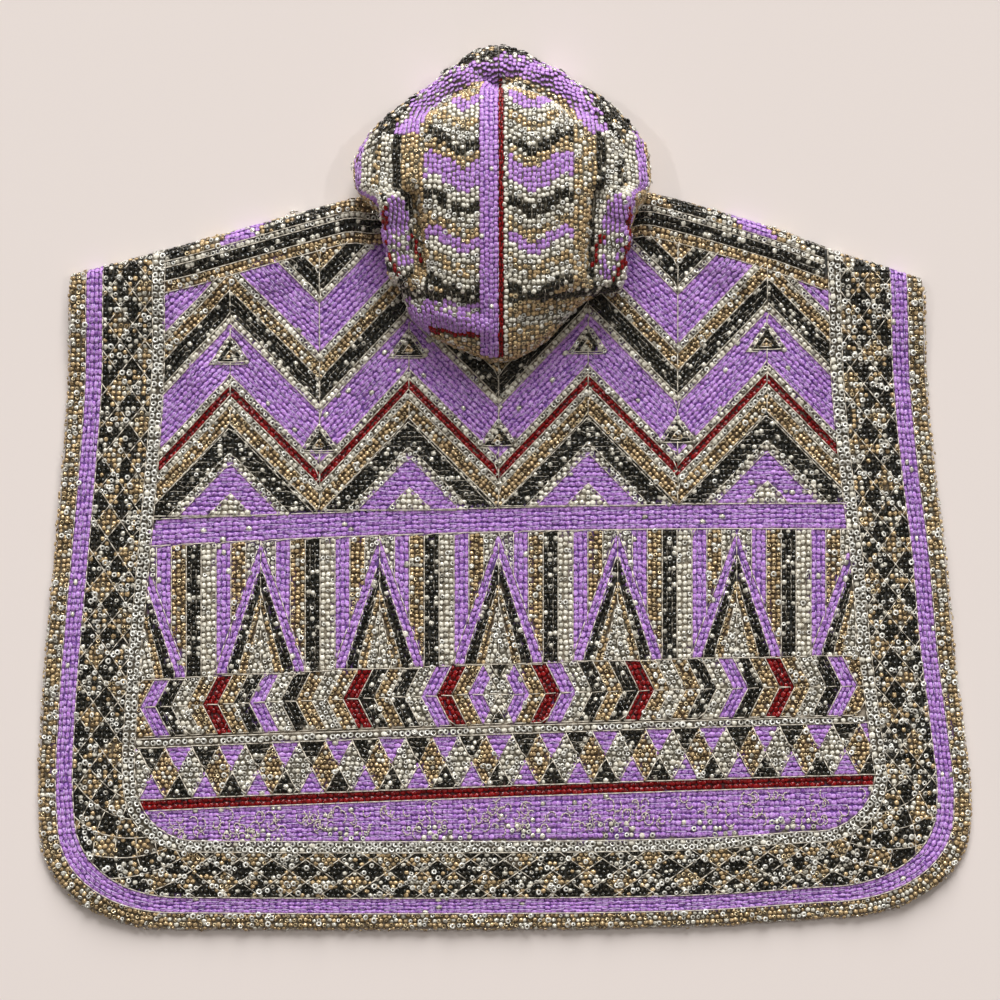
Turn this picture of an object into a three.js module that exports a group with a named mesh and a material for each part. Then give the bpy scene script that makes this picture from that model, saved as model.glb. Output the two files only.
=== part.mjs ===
// Hooded poncho in beaded cloth, laid flat on its front with the hood above the shoulders.
// Millimetres. X runs across the shoulders, Y from the hem to the top of the hood, and Z up from
// the surface that the poncho lies on.
import * as THREE from 'three';

// Cloth
const wall = 3;
const seamGap = 0.3;
const bandWall = 1.5;
const frontInset = 1.5;

// Heights of the back panel's upper face, above the surface
const restingTop = 2 * wall + seamGap;
const crestTop = 13;
const panelSwell = 2.2;

// Lower corners: each is a quarter of an ellipse
const leftCorner = { x: -340, y: -345, across: 123, up: 93.5 };
const rightCorner = { x: 330, y: -335, across: 135, up: 92 };

// The hem between the two corners
const hemRows = [
  { x: -340, y: -438.5 },
  { x: -100, y: -439.5 },
  { x: 180, y: -436.5 },
  { x: 330, y: -427 },
];

// The side edges from the corners up to the shoulders
const sideRows = [
  { y: -345, left: -463, right: 464.6 },
  { y: -300, left: -465, right: 465 },
  { y: -230, left: -462, right: 457 },
  { y: -160, left: -457, right: 448 },
  { y: -60, left: -448, right: 439 },
  { y: 20, left: -441, right: 429 },
  { y: 106, left: -435, right: 421 },
  { y: 212, left: -433, right: 417 },
];

// The shoulder line, which runs on under the hood from one neck point to the other
const shoulderRows = [
  { x: -433, y: 213 },
  { x: -373, y: 229 },
  { x: -309, y: 246 },
  { x: -205, y: 275 },
  { x: -135, y: 293 },
  { x: -80, y: 300 },
  { x: 80, y: 301 },
  { x: 140, y: 296 },
  { x: 265, y: 261 },
  { x: 333, y: 236 },
  { x: 387, y: 219 },
  { x: 417, y: 209 },
];

// Necklines
const neckReach = 112;
const backNeckLow = 256;
const frontNeckLow = 214;

// The shoulder fold, where the back turns down round the front's edge to the surface
const foldRadius = 9;
const foldSteps = 4;
const foldFullFrom = 152;
const foldNoneWithin = 108;
const frontShortAtNeck = 10;

// Folds of the back panel, from one end to the other: height over the cloth round it, and half width
const panelFolds = [
  { x1: -345, y1: 205, x2: -292, y2: 78, height: 5, width: 16 },
  { x1: -312, y1: 212, x2: -258, y2: 92, height: -4, width: 13 },
  { x1: 330, y1: 228, x2: 300, y2: 80, height: 4.5, width: 15 },
  { x1: 337, y1: 240, x2: 338, y2: 165, height: -4, width: 8 },
  { x1: -170, y1: 250, x2: -250, y2: 205, height: 3, width: 14 },
  { x1: 170, y1: 250, x2: 255, y2: 205, height: 3, width: 14 },
  { x1: -446, y1: 30, x2: -447, y2: -40, height: 3, width: 17 },
  { x1: -455, y1: -110, x2: -461, y2: -195, height: 3, width: 18 },
  { x1: 436, y1: -60, x2: 448, y2: -150, height: 2.5, width: 18 },
  { x1: -425, y1: -385, x2: -395, y2: -405, height: 3, width: 26 },
  { x1: 425, y1: -380, x2: 395, y2: -400, height: 3, width: 26 },
];

// The part of the back that the hood lies on, kept level
const hoodRest = { x: -6, y: 230, across: 190, up: 165, full: 0.9, none: 1.3 };

// The hood's crown seam, and the beaded strip over it
const hoodSeamX = -6;
const bandReach = { left: 16.6, right: 7.4 };
const bandTopY = 409;
const bandEndY = 131;

// Sections of the hood from its peak to the tip of its pouch: the reach left and right of the seam,
// the height of the crown, and how far the section's lowest part stands above what it lies on
const hoodRows = [
  { y: 439.5, left: 0, right: 0, crown: 13, lift: 13 },
  { y: 432.5, left: 25, right: 24, crown: 34, lift: 3 },
  { y: 420.5, left: 41, right: 47, crown: 47, lift: 0 },
  { y: 404.5, left: 61, right: 73, crown: 58, lift: 0 },
  { y: 387.5, left: 84, right: 100, crown: 69, lift: 0 },
  { y: 368.5, left: 108, right: 121, crown: 79, lift: 0 },
  { y: 348.5, left: 128, right: 138, crown: 85, lift: 0 },
  { y: 326.5, left: 140, right: 147, crown: 88, lift: 0 },
  { y: 304.5, left: 142, right: 149, crown: 88, lift: 0 },
  { y: 287.5, left: 133, right: 144, crown: 87, lift: 0 },
  { y: 271.5, left: 115, right: 135, crown: 85, lift: 0 },
  { y: 250.5, left: 108, right: 128, crown: 82, lift: 0 },
  { y: 226.5, left: 103, right: 122, crown: 78, lift: 0 },
  { y: 202.5, left: 98, right: 112, crown: 72, lift: 0 },
  { y: 184.5, left: 92, right: 82, crown: 67, lift: 0 },
  { y: 166.5, left: 83, right: 64, crown: 61, lift: 0 },
  { y: 150.5, left: 62, right: 50, crown: 54, lift: 0 },
  { y: 138.5, left: 35, right: 33, crown: 46, lift: 1 },
  { y: 130.5, left: 15, right: 17, crown: 37, lift: 5 },
  { y: 126.5, left: 0, right: 0, crown: 26, lift: 12.7 },
];

// How round a section is: the share of its height where it is widest, and the powers of its curve
const widestShare = 0.36;
const acrossPower = 0.9;
const crownPower = 0.9;
const underPower = 0.45;

// The face opening in the hood's underside, from the neck seam to the rim
const mouth = { y: 330, halfLength: 75, halfWidth: 95 };
const mouthWidest = 0.9;

// Folds of the hood, with x counted from the crown seam
const hoodFolds = [
  { x1: -107, y1: 284, x2: -97, y2: 212, height: 9, width: 9 },
  { x1: -85, y1: 282, x2: -77, y2: 214, height: -7, width: 9 },
  { x1: 122, y1: 286, x2: 113, y2: 205, height: 9, width: 10 },
  { x1: 98, y1: 286, x2: 90, y2: 214, height: -7, width: 9 },
  { x1: -92, y1: 190, x2: -22, y2: 173, height: -4, width: 7 },
  { x1: 24, y1: 166, x2: 68, y2: 190, height: -4, width: 7 },
  { x1: -124, y1: 334, x2: -98, y2: 292, height: -4, width: 9 },
  { x1: 130, y1: 330, x2: 106, y2: 292, height: -4, width: 9 },
];

// The crease between the hood's face edge and its crown is an arc round a point of the seam
const rimCrease = { y: 318, radius: 90, depth: 8, width: 8, spread: 1.15 };

// Grid sizes, and how strongly the panels' rows crowd towards the round corners
const panelColumns = 40;
const backRows = 26;
const frontRows = 13;
const backCrowding = 1.2;
const frontCrowding = 1.6;
const hoodSections = 30;
const hoodColumns = 18;
const normalStep = 0.02;

const { cos, sin, acos, sqrt, hypot, max, min, abs, exp, atan2, PI } = Math;
const { clamp, lerp, smoothstep } = THREE.MathUtils;

// The cubic between two values with the given slopes, where share runs from 0 to 1
function hermite(share, from, to, slopeFrom, slopeTo) {
  const square = share * share;
  const cube = square * share;
  return (
    from * (2 * cube - 3 * square + 1) +
    to * (3 * square - 2 * cube) +
    slopeFrom * (cube - 2 * square + share) +
    slopeTo * (cube - square)
  );
}

// A smooth curve through a table: reads column `to` at any value of column `from`
function curveThrough(rows, from, to) {
  const slopeAt = (index) => {
    const before = rows[max(index - 1, 0)];
    const after = rows[min(index + 1, rows.length - 1)];
    return (after[to] - before[to]) / (after[from] - before[from]);
  };
  return (value) => {
    let index = 0;
    while (index < rows.length - 2 && value > rows[index + 1][from]) index += 1;
    const low = rows[index];
    const high = rows[index + 1];
    const span = high[from] - low[from];
    const share = clamp((value - low[from]) / span, 0, 1);
    return hermite(share, low[to], high[to], span * slopeAt(index), span * slopeAt(index + 1));
  };
}

const hemBetween = curveThrough(hemRows, 'x', 'y');
const leftAbove = curveThrough(sideRows, 'y', 'left');
const rightAbove = curveThrough(sideRows, 'y', 'right');
const shoulderLine = curveThrough(shoulderRows, 'x', 'y');

// How far a quarter ellipse has come in, at a share of its other axis
const roundedOff = (share) => sqrt(max(1 - share * share, 0));

// The lower edge at x
function hem(x) {
  if (x < leftCorner.x) return leftCorner.y - leftCorner.up * roundedOff((x - leftCorner.x) / leftCorner.across);
  if (x > rightCorner.x) {
    return rightCorner.y - rightCorner.up * roundedOff((x - rightCorner.x) / rightCorner.across);
  }
  return hemBetween(x);
}

// The left and right edges at y
function leftEdge(y) {
  if (y >= leftCorner.y) return leftAbove(y);
  return leftCorner.x - leftCorner.across * roundedOff((y - leftCorner.y) / leftCorner.up);
}

function rightEdge(y) {
  if (y >= rightCorner.y) return rightAbove(y);
  return rightCorner.x + rightCorner.across * roundedOff((y - rightCorner.y) / rightCorner.up);
}

// The top edge of a panel: the shoulder line, and a scooped neckline between the neck points
function topEdge(x, neckLow) {
  const share = abs(x) / neckReach;
  if (share >= 1) return shoulderLine(x);
  return lerp(neckLow, shoulderLine(x), share ** 2.4);
}

// Height of the folds of a table at a point
function foldHeight(folds, x, y) {
  let height = 0;
  for (const fold of folds) {
    const alongX = fold.x2 - fold.x1;
    const alongY = fold.y2 - fold.y1;
    const length = hypot(alongX, alongY);
    const place = ((x - fold.x1) * alongX + (y - fold.y1) * alongY) / (length * length);
    const aside = ((x - fold.x1) * alongY - (y - fold.y1) * alongX) / length;
    const past = max(-place, place - 1, 0) * length;
    height += fold.height * exp(-((aside / fold.width) ** 2) - (past / fold.width) ** 2);
  }
  return height;
}

// The upper face of the back panel
function panelTop(x, y) {
  const inFromShoulder = shoulderLine(x) - y;
  const inFromEdge = min(x - leftEdge(y), rightEdge(y) - x, y - hem(x));
  const aside = hypot((x - hoodRest.x) / hoodRest.across, (y - hoodRest.y) / hoodRest.up);
  const underHood = 1 - smoothstep(aside, hoodRest.full, hoodRest.none);
  const crest = max(1 - smoothstep(inFromShoulder, 30, 120), underHood);
  const swell = panelSwell * smoothstep(inFromEdge, 0, 90);
  const folds = foldHeight(panelFolds, x, y) * (1 - underHood) * (1 - smoothstep(-inFromShoulder, -30, -12));
  return restingTop + max(max((crestTop - restingTop) * crest, swell) + folds, 0);
}

// A point of a panel, between its four edges: across and up run from 0 to 1
function patchPoint(edges, across, up) {
  const low = edges.bottom(across);
  const high = edges.top(across);
  const left = edges.left(up);
  const right = edges.right(up);
  const corners = new THREE.Vector2()
    .addScaledVector(edges.bottom(0), (1 - across) * (1 - up))
    .addScaledVector(edges.bottom(1), across * (1 - up))
    .addScaledVector(edges.top(0), (1 - across) * up)
    .addScaledVector(edges.top(1), across * up);
  return low
    .multiplyScalar(1 - up)
    .addScaledVector(high, up)
    .addScaledVector(left, 1 - across)
    .addScaledVector(right, across)
    .sub(corners);
}

// The four edges of a panel, given its top edge by x and how far its sides and hem are set in
function panelEdges(topAt, inset) {
  const cornerShare = sqrt(0.5);
  const lowLeftX = leftCorner.x - leftCorner.across * cornerShare;
  const lowRightX = rightCorner.x + rightCorner.across * cornerShare;
  const lowLeftY = hem(lowLeftX);
  const lowRightY = hem(lowRightX);
  const topLeftX = shoulderRows[0].x;
  const topRightX = shoulderRows[shoulderRows.length - 1].x;
  const bottom = (across) => {
    const x = lerp(lowLeftX, lowRightX, across);
    return new THREE.Vector2(x + inset * (1 - 2 * across), hem(x) + inset);
  };
  const top = (across) => {
    const x = lerp(topLeftX, topRightX, across);
    return new THREE.Vector2(x, topAt(x));
  };
  const left = (up) => {
    const y = lerp(lowLeftY, topAt(topLeftX), up);
    return new THREE.Vector2(leftEdge(y) + inset * (1 - up), y + inset * (1 - up));
  };
  const right = (up) => {
    const y = lerp(lowRightY, topAt(topRightX), up);
    return new THREE.Vector2(rightEdge(y) - inset * (1 - up), y + inset * (1 - up));
  };
  return { bottom, top, left, right };
}

// How far the back turns down at x: none at the neck, and all the way on the shoulders
const foldShare = (x) => smoothstep(abs(x - hoodSeamX), foldNoneWithin, foldFullFrom);

// The shoulder fold in profile: how far each step has come out and down, and its heading
function foldProfile(x) {
  const turn = (PI / 2) * foldShare(x);
  const bend = (foldRadius * PI) / 2;
  const top = panelTop(x, shoulderLine(x) - 2 * foldRadius);
  const straight = top - foldRadius;
  const steps = [];
  for (let step = 1; step <= foldSteps; step += 1) {
    const heading = (turn * step) / foldSteps;
    const level = turn < 1e-6;
    const out = level ? (bend * step) / foldSteps : (bend / turn) * sin(heading);
    const down = level ? 0 : (bend / turn) * (1 - cos(heading));
    steps.push({ out, down, heading });
  }
  const last = steps[foldSteps - 1];
  steps.push({ out: last.out + straight * cos(turn), down: last.down + straight * sin(turn), heading: turn });
  return { top, steps, reach: last.out + straight * cos(turn) };
}

// A closed wall between an outer and an inner grid of points. A row that is one single point
// becomes one vertex, and its empty triangles are left out.
function closedWall(outer, inner) {
  const positions = [];
  const indices = [];
  const numbered = (grid) =>
    grid.map((row) => {
      const isPole = row.every((point) => point.distanceTo(row[0]) < 1e-4);
      let index = 0;
      return row.map((point, place) => {
        if (isPole && place > 0) return index;
        index = positions.length / 3;
        positions.push(point.x, point.y, point.z);
        return index;
      });
    });
  const triangle = (a, b, c) => {
    if (a !== b && b !== c && c !== a) indices.push(a, b, c);
  };
  const quad = (a, b, c, d) => {
    triangle(a, b, c);
    triangle(a, c, d);
  };
  const skin = numbered(outer);
  const lining = numbered(inner);
  const lastRow = skin.length - 1;
  const lastColumn = skin[0].length - 1;
  for (let row = 0; row < lastRow; row += 1) {
    for (let column = 0; column < lastColumn; column += 1) {
      quad(skin[row][column], skin[row][column + 1], skin[row + 1][column + 1], skin[row + 1][column]);
      quad(lining[row][column], lining[row + 1][column], lining[row + 1][column + 1], lining[row][column + 1]);
    }
    quad(skin[row][0], skin[row + 1][0], lining[row + 1][0], lining[row][0]);
    quad(
      skin[row + 1][lastColumn],
      skin[row][lastColumn],
      lining[row][lastColumn],
      lining[row + 1][lastColumn],
    );
  }
  for (let column = 0; column < lastColumn; column += 1) {
    quad(skin[0][column + 1], skin[0][column], lining[0][column], lining[0][column + 1]);
    quad(
      skin[lastRow][column],
      skin[lastRow][column + 1],
      lining[lastRow][column + 1],
      lining[lastRow][column],
    );
  }
  const geometry = new THREE.BufferGeometry();
  geometry.setAttribute('position', new THREE.Float32BufferAttribute(positions, 3));
  geometry.setIndex(indices);
  return geometry;
}

// The back: a swelling sheet whose shoulder edges turn down round the front
function backPanel() {
  const edges = panelEdges((x) => topEdge(x, backNeckLow) - foldProfile(x).reach, 0);
  const outer = [];
  const inner = [];
  for (let row = 0; row <= backRows; row += 1) {
    const skin = [];
    const up = (row / backRows) ** backCrowding;
    for (let column = 0; column <= panelColumns; column += 1) {
      const spot = patchPoint(edges, column / panelColumns, up);
      const height = row === backRows ? foldProfile(spot.x).top : panelTop(spot.x, spot.y);
      skin.push(new THREE.Vector3(spot.x, spot.y, height));
    }
    outer.push(skin);
    inner.push(skin.map((point) => new THREE.Vector3(point.x, point.y, point.z - wall)));
  }
  const shoulder = outer[backRows];
  for (let step = 0; step <= foldSteps; step += 1) {
    const skin = [];
    const lining = [];
    for (const start of shoulder) {
      const { out, down, heading } = foldProfile(start.x).steps[step];
      const point = new THREE.Vector3(start.x, start.y + out, max(start.z - down, 0));
      skin.push(point);
      lining.push(new THREE.Vector3(point.x, point.y - wall * sin(heading), max(point.z - wall * cos(heading), 0)));
    }
    outer.push(skin);
    inner.push(lining);
  }
  return closedWall(outer, inner);
}

// The front: flat on the surface, its shoulder edges inside the turned edges of the back
function frontPanel() {
  const shortBy = (x) => wall + seamGap + frontShortAtNeck * (1 - foldShare(x));
  const edges = panelEdges((x) => topEdge(x, frontNeckLow) - shortBy(x), frontInset);
  const outer = [];
  const inner = [];
  for (let row = 0; row <= frontRows; row += 1) {
    const lining = [];
    const up = (row / frontRows) ** frontCrowding;
    for (let column = 0; column <= panelColumns; column += 1) {
      const spot = patchPoint(edges, column / panelColumns, up);
      lining.push(new THREE.Vector3(spot.x, spot.y, 0));
    }
    inner.push(lining);
    outer.push(lining.map((point) => new THREE.Vector3(point.x, point.y, wall)));
  }
  return closedWall(outer, inner);
}

// A column of the hood's table at any place between two of its rows. Towards both ends the
// sections come together on a point, and the end is round.
function alongHood(column, place) {
  const last = hoodRows.length - 1;
  const index = min(Math.floor(place), last - 1);
  const slopeAt = (row) => {
    if (row > 0 && row < last) return (hoodRows[row + 1][column] - hoodRows[row - 1][column]) / 2;
    if (column === 'y') return 0;
    return row === 0
      ? hoodRows[1][column] - hoodRows[0][column]
      : hoodRows[last][column] - hoodRows[last - 1][column];
  };
  return hermite(
    place - index,
    hoodRows[index][column],
    hoodRows[index + 1][column],
    slopeAt(index),
    slopeAt(index + 1),
  );
}

// What the hood lies on: the back, and past the shoulder line the surface
function ground(x, y) {
  const past = y - shoulderLine(x);
  return (crestTop + seamGap) * (1 - smoothstep(past, 2, 28));
}

// A point of the hood's plain form. Side is -1 or 1, and angle runs from the crown seam at a
// quarter turn, past the widest place at 0, to the middle of the underside.
function hoodForm(side, place, angle) {
  const reach = max(alongHood(side < 0 ? 'left' : 'right', place) - seamGap / 2, 0);
  const y = alongHood('y', place);
  const x = hoodSeamX + side * (seamGap / 2 + reach * max(cos(angle), 0) ** acrossPower);
  const low = ground(x, y) + max(alongHood('lift', place), 0);
  const crown = max(alongHood('crown', place), low);
  const middle = lerp(low, crown, widestShare);
  const rise = sin(angle);
  const z =
    rise >= 0
      ? middle + (crown - middle) * rise ** crownPower
      : middle - (middle - low) * (-rise) ** underPower;
  return new THREE.Vector3(x, y, z);
}

// The outward direction of the plain form
function hoodNormal(side, place, angle, onSeam) {
  const last = hoodRows.length - 1;
  if (place <= 0) return new THREE.Vector3(0, 1, 0);
  if (place >= last) return new THREE.Vector3(0, -1, 0);
  const up = min(angle + normalStep, PI / 2);
  const down = max(angle - normalStep, -PI / 2);
  const round = hoodForm(side, place, up).sub(hoodForm(side, place, down));
  const onward = hoodForm(side, min(place + normalStep, last), angle).sub(
    hoodForm(side, max(place - normalStep, 0), angle),
  );
  const normal = round.cross(onward).multiplyScalar(side);
  if (onSeam) normal.x = 0;
  return normal.normalize();
}

// Height of the hood's folds over its plain form
function hoodFold(x, y, angle) {
  const fromSeam = x - hoodSeamX;
  const round = atan2(fromSeam, y - rimCrease.y);
  const aside = (hypot(fromSeam, y - rimCrease.y) - rimCrease.radius) / rimCrease.width;
  const fade = 1 - smoothstep(abs(round), 0.6 * rimCrease.spread, rimCrease.spread);
  const crease = -rimCrease.depth * exp(-aside * aside) * fade;
  return (foldHeight(hoodFolds, fromSeam, y) + crease) * smoothstep(sin(angle), -0.1, 0.35);
}

// Half the width of the face opening at y
function mouthReach(y) {
  const share = abs(y - mouth.y) / mouth.halfLength;
  return share >= 1 ? 0 : mouth.halfWidth * roundedOff(share);
}

// The angles of a section's columns: the seam, the edge of the strip, and evenly on to the end
function sectionAngles(side, place) {
  const reach = alongHood(side < 0 ? 'left' : 'right', place) - seamGap / 2;
  const strip = (side < 0 ? bandReach.left : bandReach.right) - seamGap / 2;
  const angleOf = (share) => acos(share ** (1 / acrossPower));
  const stripAngle = angleOf(min(strip / reach, 0.6));
  const opening = min(mouthReach(alongHood('y', place)) / reach, mouthWidest);
  const lastAngle = -angleOf(opening);
  const angles = [PI / 2];
  for (let column = 1; column <= hoodColumns; column += 1) {
    angles.push(lerp(stripAngle, lastAngle, (column - 1) / (hoodColumns - 1)));
  }
  return { angles, closed: opening === 0 };
}

// One section of a hood half as points moved out from its skin by `out`
function hoodSection(side, row, out) {
  const last = hoodRows.length - 1;
  const place = (row * last) / hoodSections;
  const isPole = row === 0 || row === hoodSections;
  const { angles, closed } = isPole ? { angles: Array(hoodColumns + 1).fill(0), closed: false } : sectionAngles(side, place);
  return angles.map((angle, column) => {
    const onSeam = column === 0 || (closed && column === hoodColumns);
    const point = hoodForm(side, place, angle);
    const fold = isPole ? 0 : hoodFold(point.x, point.y, angle);
    return point.addScaledVector(hoodNormal(side, place, angle, onSeam), fold + out);
  });
}

// Half of the hood
function hoodHalf(side) {
  const outer = [];
  const inner = [];
  for (let row = 0; row <= hoodSections; row += 1) {
    const skin = hoodSection(side, row, 0);
    const lining = hoodSection(side, row, -wall);
    outer.push(side < 0 ? skin : skin.reverse());
    inner.push(side < 0 ? lining : lining.reverse());
  }
  return closedWall(outer, inner);
}

// The beaded strip over the crown seam, made from the two halves' points and moved out
function seamBand() {
  const outer = [];
  const inner = [];
  for (let row = 1; row < hoodSections; row += 1) {
    const y = alongHood('y', (row * (hoodRows.length - 1)) / hoodSections);
    if (y > bandTopY || y < bandEndY) continue;
    const across = (out) => {
      const left = hoodSection(-1, row, out);
      const right = hoodSection(1, row, out);
      return [right[1], left[0].clone().lerp(right[0], 0.5), left[1]];
    };
    outer.push(across(seamGap + bandWall));
    inner.push(across(seamGap));
  }
  return closedWall(outer, inner);
}

// The poncho as a scene graph, one mesh for each piece that is cut and sewn
function clothPiece(name, geometry, color) {
  const material = new THREE.MeshStandardMaterial({ color, roughness: 0.55, metalness: 0 });
  const mesh = new THREE.Mesh(geometry, material);
  mesh.name = name;
  return mesh;
}

const violet = 0x9c6cc4;
const dullGold = 0xa98f68;
const greyBeige = 0xb9ae9b;

const poncho = new THREE.Group();
poncho.add(
  clothPiece('back_panel', backPanel(), greyBeige),
  clothPiece('front_panel', frontPanel(), greyBeige),
  clothPiece('hood_left', hoodHalf(-1), dullGold),
  clothPiece('hood_right', hoodHalf(1), dullGold),
  clothPiece('hood_seam_band', seamBand(), violet),
);

export default poncho;
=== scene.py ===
# %% [markdown]
# # A beaded hooded poncho, laid flat
# The real garment is two large cloth panels and a two-part hood, covered all over with glass beads
# and sequins that are sewn on in rows. This lesson dresses the plain solids of the garment: first the
# cloth, then a plan of the pattern, then every bead as a small mesh of its own, joined by colour.
# Lengths are in millimetres until a mesh is made, because beads and hems are measured that way.

# %% The frame
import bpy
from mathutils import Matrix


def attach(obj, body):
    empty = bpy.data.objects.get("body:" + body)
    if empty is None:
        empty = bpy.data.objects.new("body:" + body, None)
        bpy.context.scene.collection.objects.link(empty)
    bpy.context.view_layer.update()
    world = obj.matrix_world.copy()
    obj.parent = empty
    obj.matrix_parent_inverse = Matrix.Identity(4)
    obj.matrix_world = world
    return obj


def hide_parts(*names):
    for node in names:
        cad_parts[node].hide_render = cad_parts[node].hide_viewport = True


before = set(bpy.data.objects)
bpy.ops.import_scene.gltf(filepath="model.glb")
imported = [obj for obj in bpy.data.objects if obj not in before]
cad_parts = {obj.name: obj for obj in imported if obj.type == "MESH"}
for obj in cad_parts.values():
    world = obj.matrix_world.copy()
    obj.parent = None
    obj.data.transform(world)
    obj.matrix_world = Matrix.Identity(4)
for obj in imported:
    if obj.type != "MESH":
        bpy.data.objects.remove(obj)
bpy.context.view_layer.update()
print("nodes to dress:", sorted(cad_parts))

# %% Libraries and the seed of everything random
import math

import bpy
import mathutils
import numpy as np

MM = 0.001
chance = np.random.default_rng(20)

# %% [markdown]
# ## Helpers for colour and for nodes
# Hex colours are what a screen shows, and Blender's sockets want light amounts, so one function turns
# one into the other. A second one adds a node, sets its sockets and links it. With these two, each
# material further down stays a short list of what it is made of.

# %% Colour and node helpers
def linear(hex_colour):
    """A hex colour as four linear numbers."""
    parts = [int(hex_colour[place:place + 2], 16) / 255 for place in (1, 3, 5)]
    light = [part / 12.92 if part <= 0.04045 else ((part + 0.055) / 1.055) ** 2.4 for part in parts]
    return (*light, 1.0)


def new_material(name):
    """An empty node material with its output and a Principled shader."""
    material = bpy.data.materials.new(name)
    material.use_nodes = True
    material.node_tree.nodes.clear()
    output = add_node(material, "ShaderNodeOutputMaterial")
    shader = add_node(material, "ShaderNodeBsdfPrincipled")
    material.node_tree.links.new(shader.outputs["BSDF"], output.inputs["Surface"])
    return material, shader


def add_node(material, kind, sockets=None, **settings):
    """Adds a node, with its settings, socket values and links."""
    node = material.node_tree.nodes.new(kind)
    for name, value in settings.items():
        setattr(node, name, value)
    set_sockets(material, node, sockets or {})
    return node


def set_sockets(material, node, sockets):
    """Gives a node's sockets their values, or links them to another node's output."""
    for name, value in sockets.items():
        if isinstance(value, bpy.types.NodeSocket):
            material.node_tree.links.new(value, node.inputs[name])
        else:
            node.inputs[name].default_value = value


# %% [markdown]
# ## The cloth's form
# The panels and the hood follow the same sizes and curves as the solids, so that each dressed piece
# lies where its solid is. Written with arrays, the formulas give thousands of points at once, which
# makes a cloth fine enough to carry the beads.

# %% Sizes of the panels
wall, seam_gap, band_wall, front_inset = 3, 0.3, 1.5, 1.5
resting_top = 2 * wall + seam_gap
crest_top, crest_from, crest_to = 13, 30, 120
panel_swell, swell_reach = 2.2, 90
left_corner = {"x": -340, "y": -345, "across": 123, "up": 93.5}
right_corner = {"x": 330, "y": -335, "across": 135, "up": 92}
hem_rows = [(-340, -438.5), (-100, -439.5), (180, -436.5), (330, -427)]
left_rows = [(-345, -463), (-300, -465), (-230, -462), (-160, -457),
             (-60, -448), (20, -441), (106, -435), (212, -433)]
right_rows = [(-345, 464.6), (-300, 465), (-230, 457), (-160, 448),
              (-60, 439), (20, 429), (106, 421), (212, 417)]
shoulder_rows = [(-433, 213), (-373, 229), (-309, 246), (-205, 275), (-135, 293), (-80, 300),
                 (80, 301), (140, 296), (265, 261), (333, 236), (387, 219), (417, 209)]
neck_reach, neck_power, back_neck_low, front_neck_low = 112, 2.4, 256, 214
fold_radius, fold_full_from, fold_none_within, front_short_at_neck = 9, 152, 108, 10
hood_seam_x = -6
hood_rest = {"x": -6, "y": 230, "across": 190, "up": 165, "full": 0.9, "none": 1.3}
folds_from, folds_full = 12, 30
# Folds of the back: x and y of both ends, height of the crest, half width
panel_folds = [
    (-345, 205, -292, 78, 5, 16),
    (-312, 212, -258, 92, -4, 13),
    (330, 228, 300, 80, 4.5, 15),
    (337, 240, 338, 165, -4, 8),
    (-170, 250, -250, 205, 3, 14),
    (170, 250, 255, 205, 3, 14),
    (-446, 30, -447, -40, 3, 17),
    (-455, -110, -461, -195, 3, 18),
    (436, -60, 448, -150, 2.5, 18),
    (-425, -385, -395, -405, 3, 26),
    (425, -380, 395, -400, 3, 26),
]

# %% Curves through tables
look_ahead = 2


def smooth(value, low, high):
    """From 0 at low to 1 at high, with a level start and end."""
    share = np.clip((value - low) / (high - low), 0, 1)
    return share * share * (3 - 2 * share)


def hermite(share, start, end, slope_start, slope_end):
    """The cubic between two values with the given slopes."""
    square, cube = share**2, share**3
    return (start * (2 * cube - 3 * square + 1) + end * (3 * square - 2 * cube)
            + slope_start * (cube - 2 * square + share) + slope_end * (cube - square))


def curve_through(rows, value):
    """A smooth curve through a table of pairs, read at any value."""
    at, to = np.array(rows, float).T
    before = np.maximum(np.arange(len(at)) - 1, 0)
    after = np.minimum(np.arange(len(at)) + 1, len(at) - 1)
    slope = (to[after] - to[before]) / (at[after] - at[before])
    low = np.clip(np.searchsorted(at, value, side="right") - 1, 0, len(at) - 2)
    span = at[low + 1] - at[low]
    share = np.clip((value - at[low]) / span, 0, 1)
    return hermite(share, to[low], to[low + 1], span * slope[low], span * slope[low + 1])


def path_length(path):
    """Length along a path at each of its points."""
    return np.concatenate([[0], np.cumsum(np.linalg.norm(np.diff(path, axis=0), axis=1))])


def along_path(path, length, places):
    """Points of a path at places along its length."""
    return np.stack([np.interp(places, length, column) for column in path.T], axis=-1)


def unit(vectors):
    """Vectors of the same directions, each 1 long."""
    return vectors / np.linalg.norm(vectors, axis=-1, keepdims=True)


def path_heading(path, length, places):
    """Directions of a path at places along its length."""
    return unit(along_path(path, length, places + look_ahead) - along_path(path, length, places - look_ahead))


def shoulder_line(x):
    return curve_through(shoulder_rows, x)


# %% Edges of the panels
def rounded_off(share):
    """How far a quarter of an ellipse has come in, at a share of its other axis."""
    return np.sqrt(np.maximum(1 - share**2, 0))


def corner_foot(corner, x):
    """Lower edge of a round corner at x."""
    return corner["y"] - corner["up"] * rounded_off((x - corner["x"]) / corner["across"])


def corner_side(corner, side, y):
    """Outer edge of a round corner at y."""
    return corner["x"] + side * corner["across"] * rounded_off((y - corner["y"]) / corner["up"])


def hem(x):
    left, right = corner_foot(left_corner, x), corner_foot(right_corner, x)
    between = curve_through(hem_rows, x)
    return np.where(x < left_corner["x"], left, np.where(x > right_corner["x"], right, between))


def left_edge(y):
    return np.where(y >= left_corner["y"], curve_through(left_rows, y), corner_side(left_corner, -1, y))


def right_edge(y):
    return np.where(y >= right_corner["y"], curve_through(right_rows, y), corner_side(right_corner, 1, y))


def top_edge(x, neck_low):
    share = np.minimum(np.abs(x) / neck_reach, 1)
    return neck_low + (shoulder_line(x) - neck_low) * share**neck_power


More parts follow.
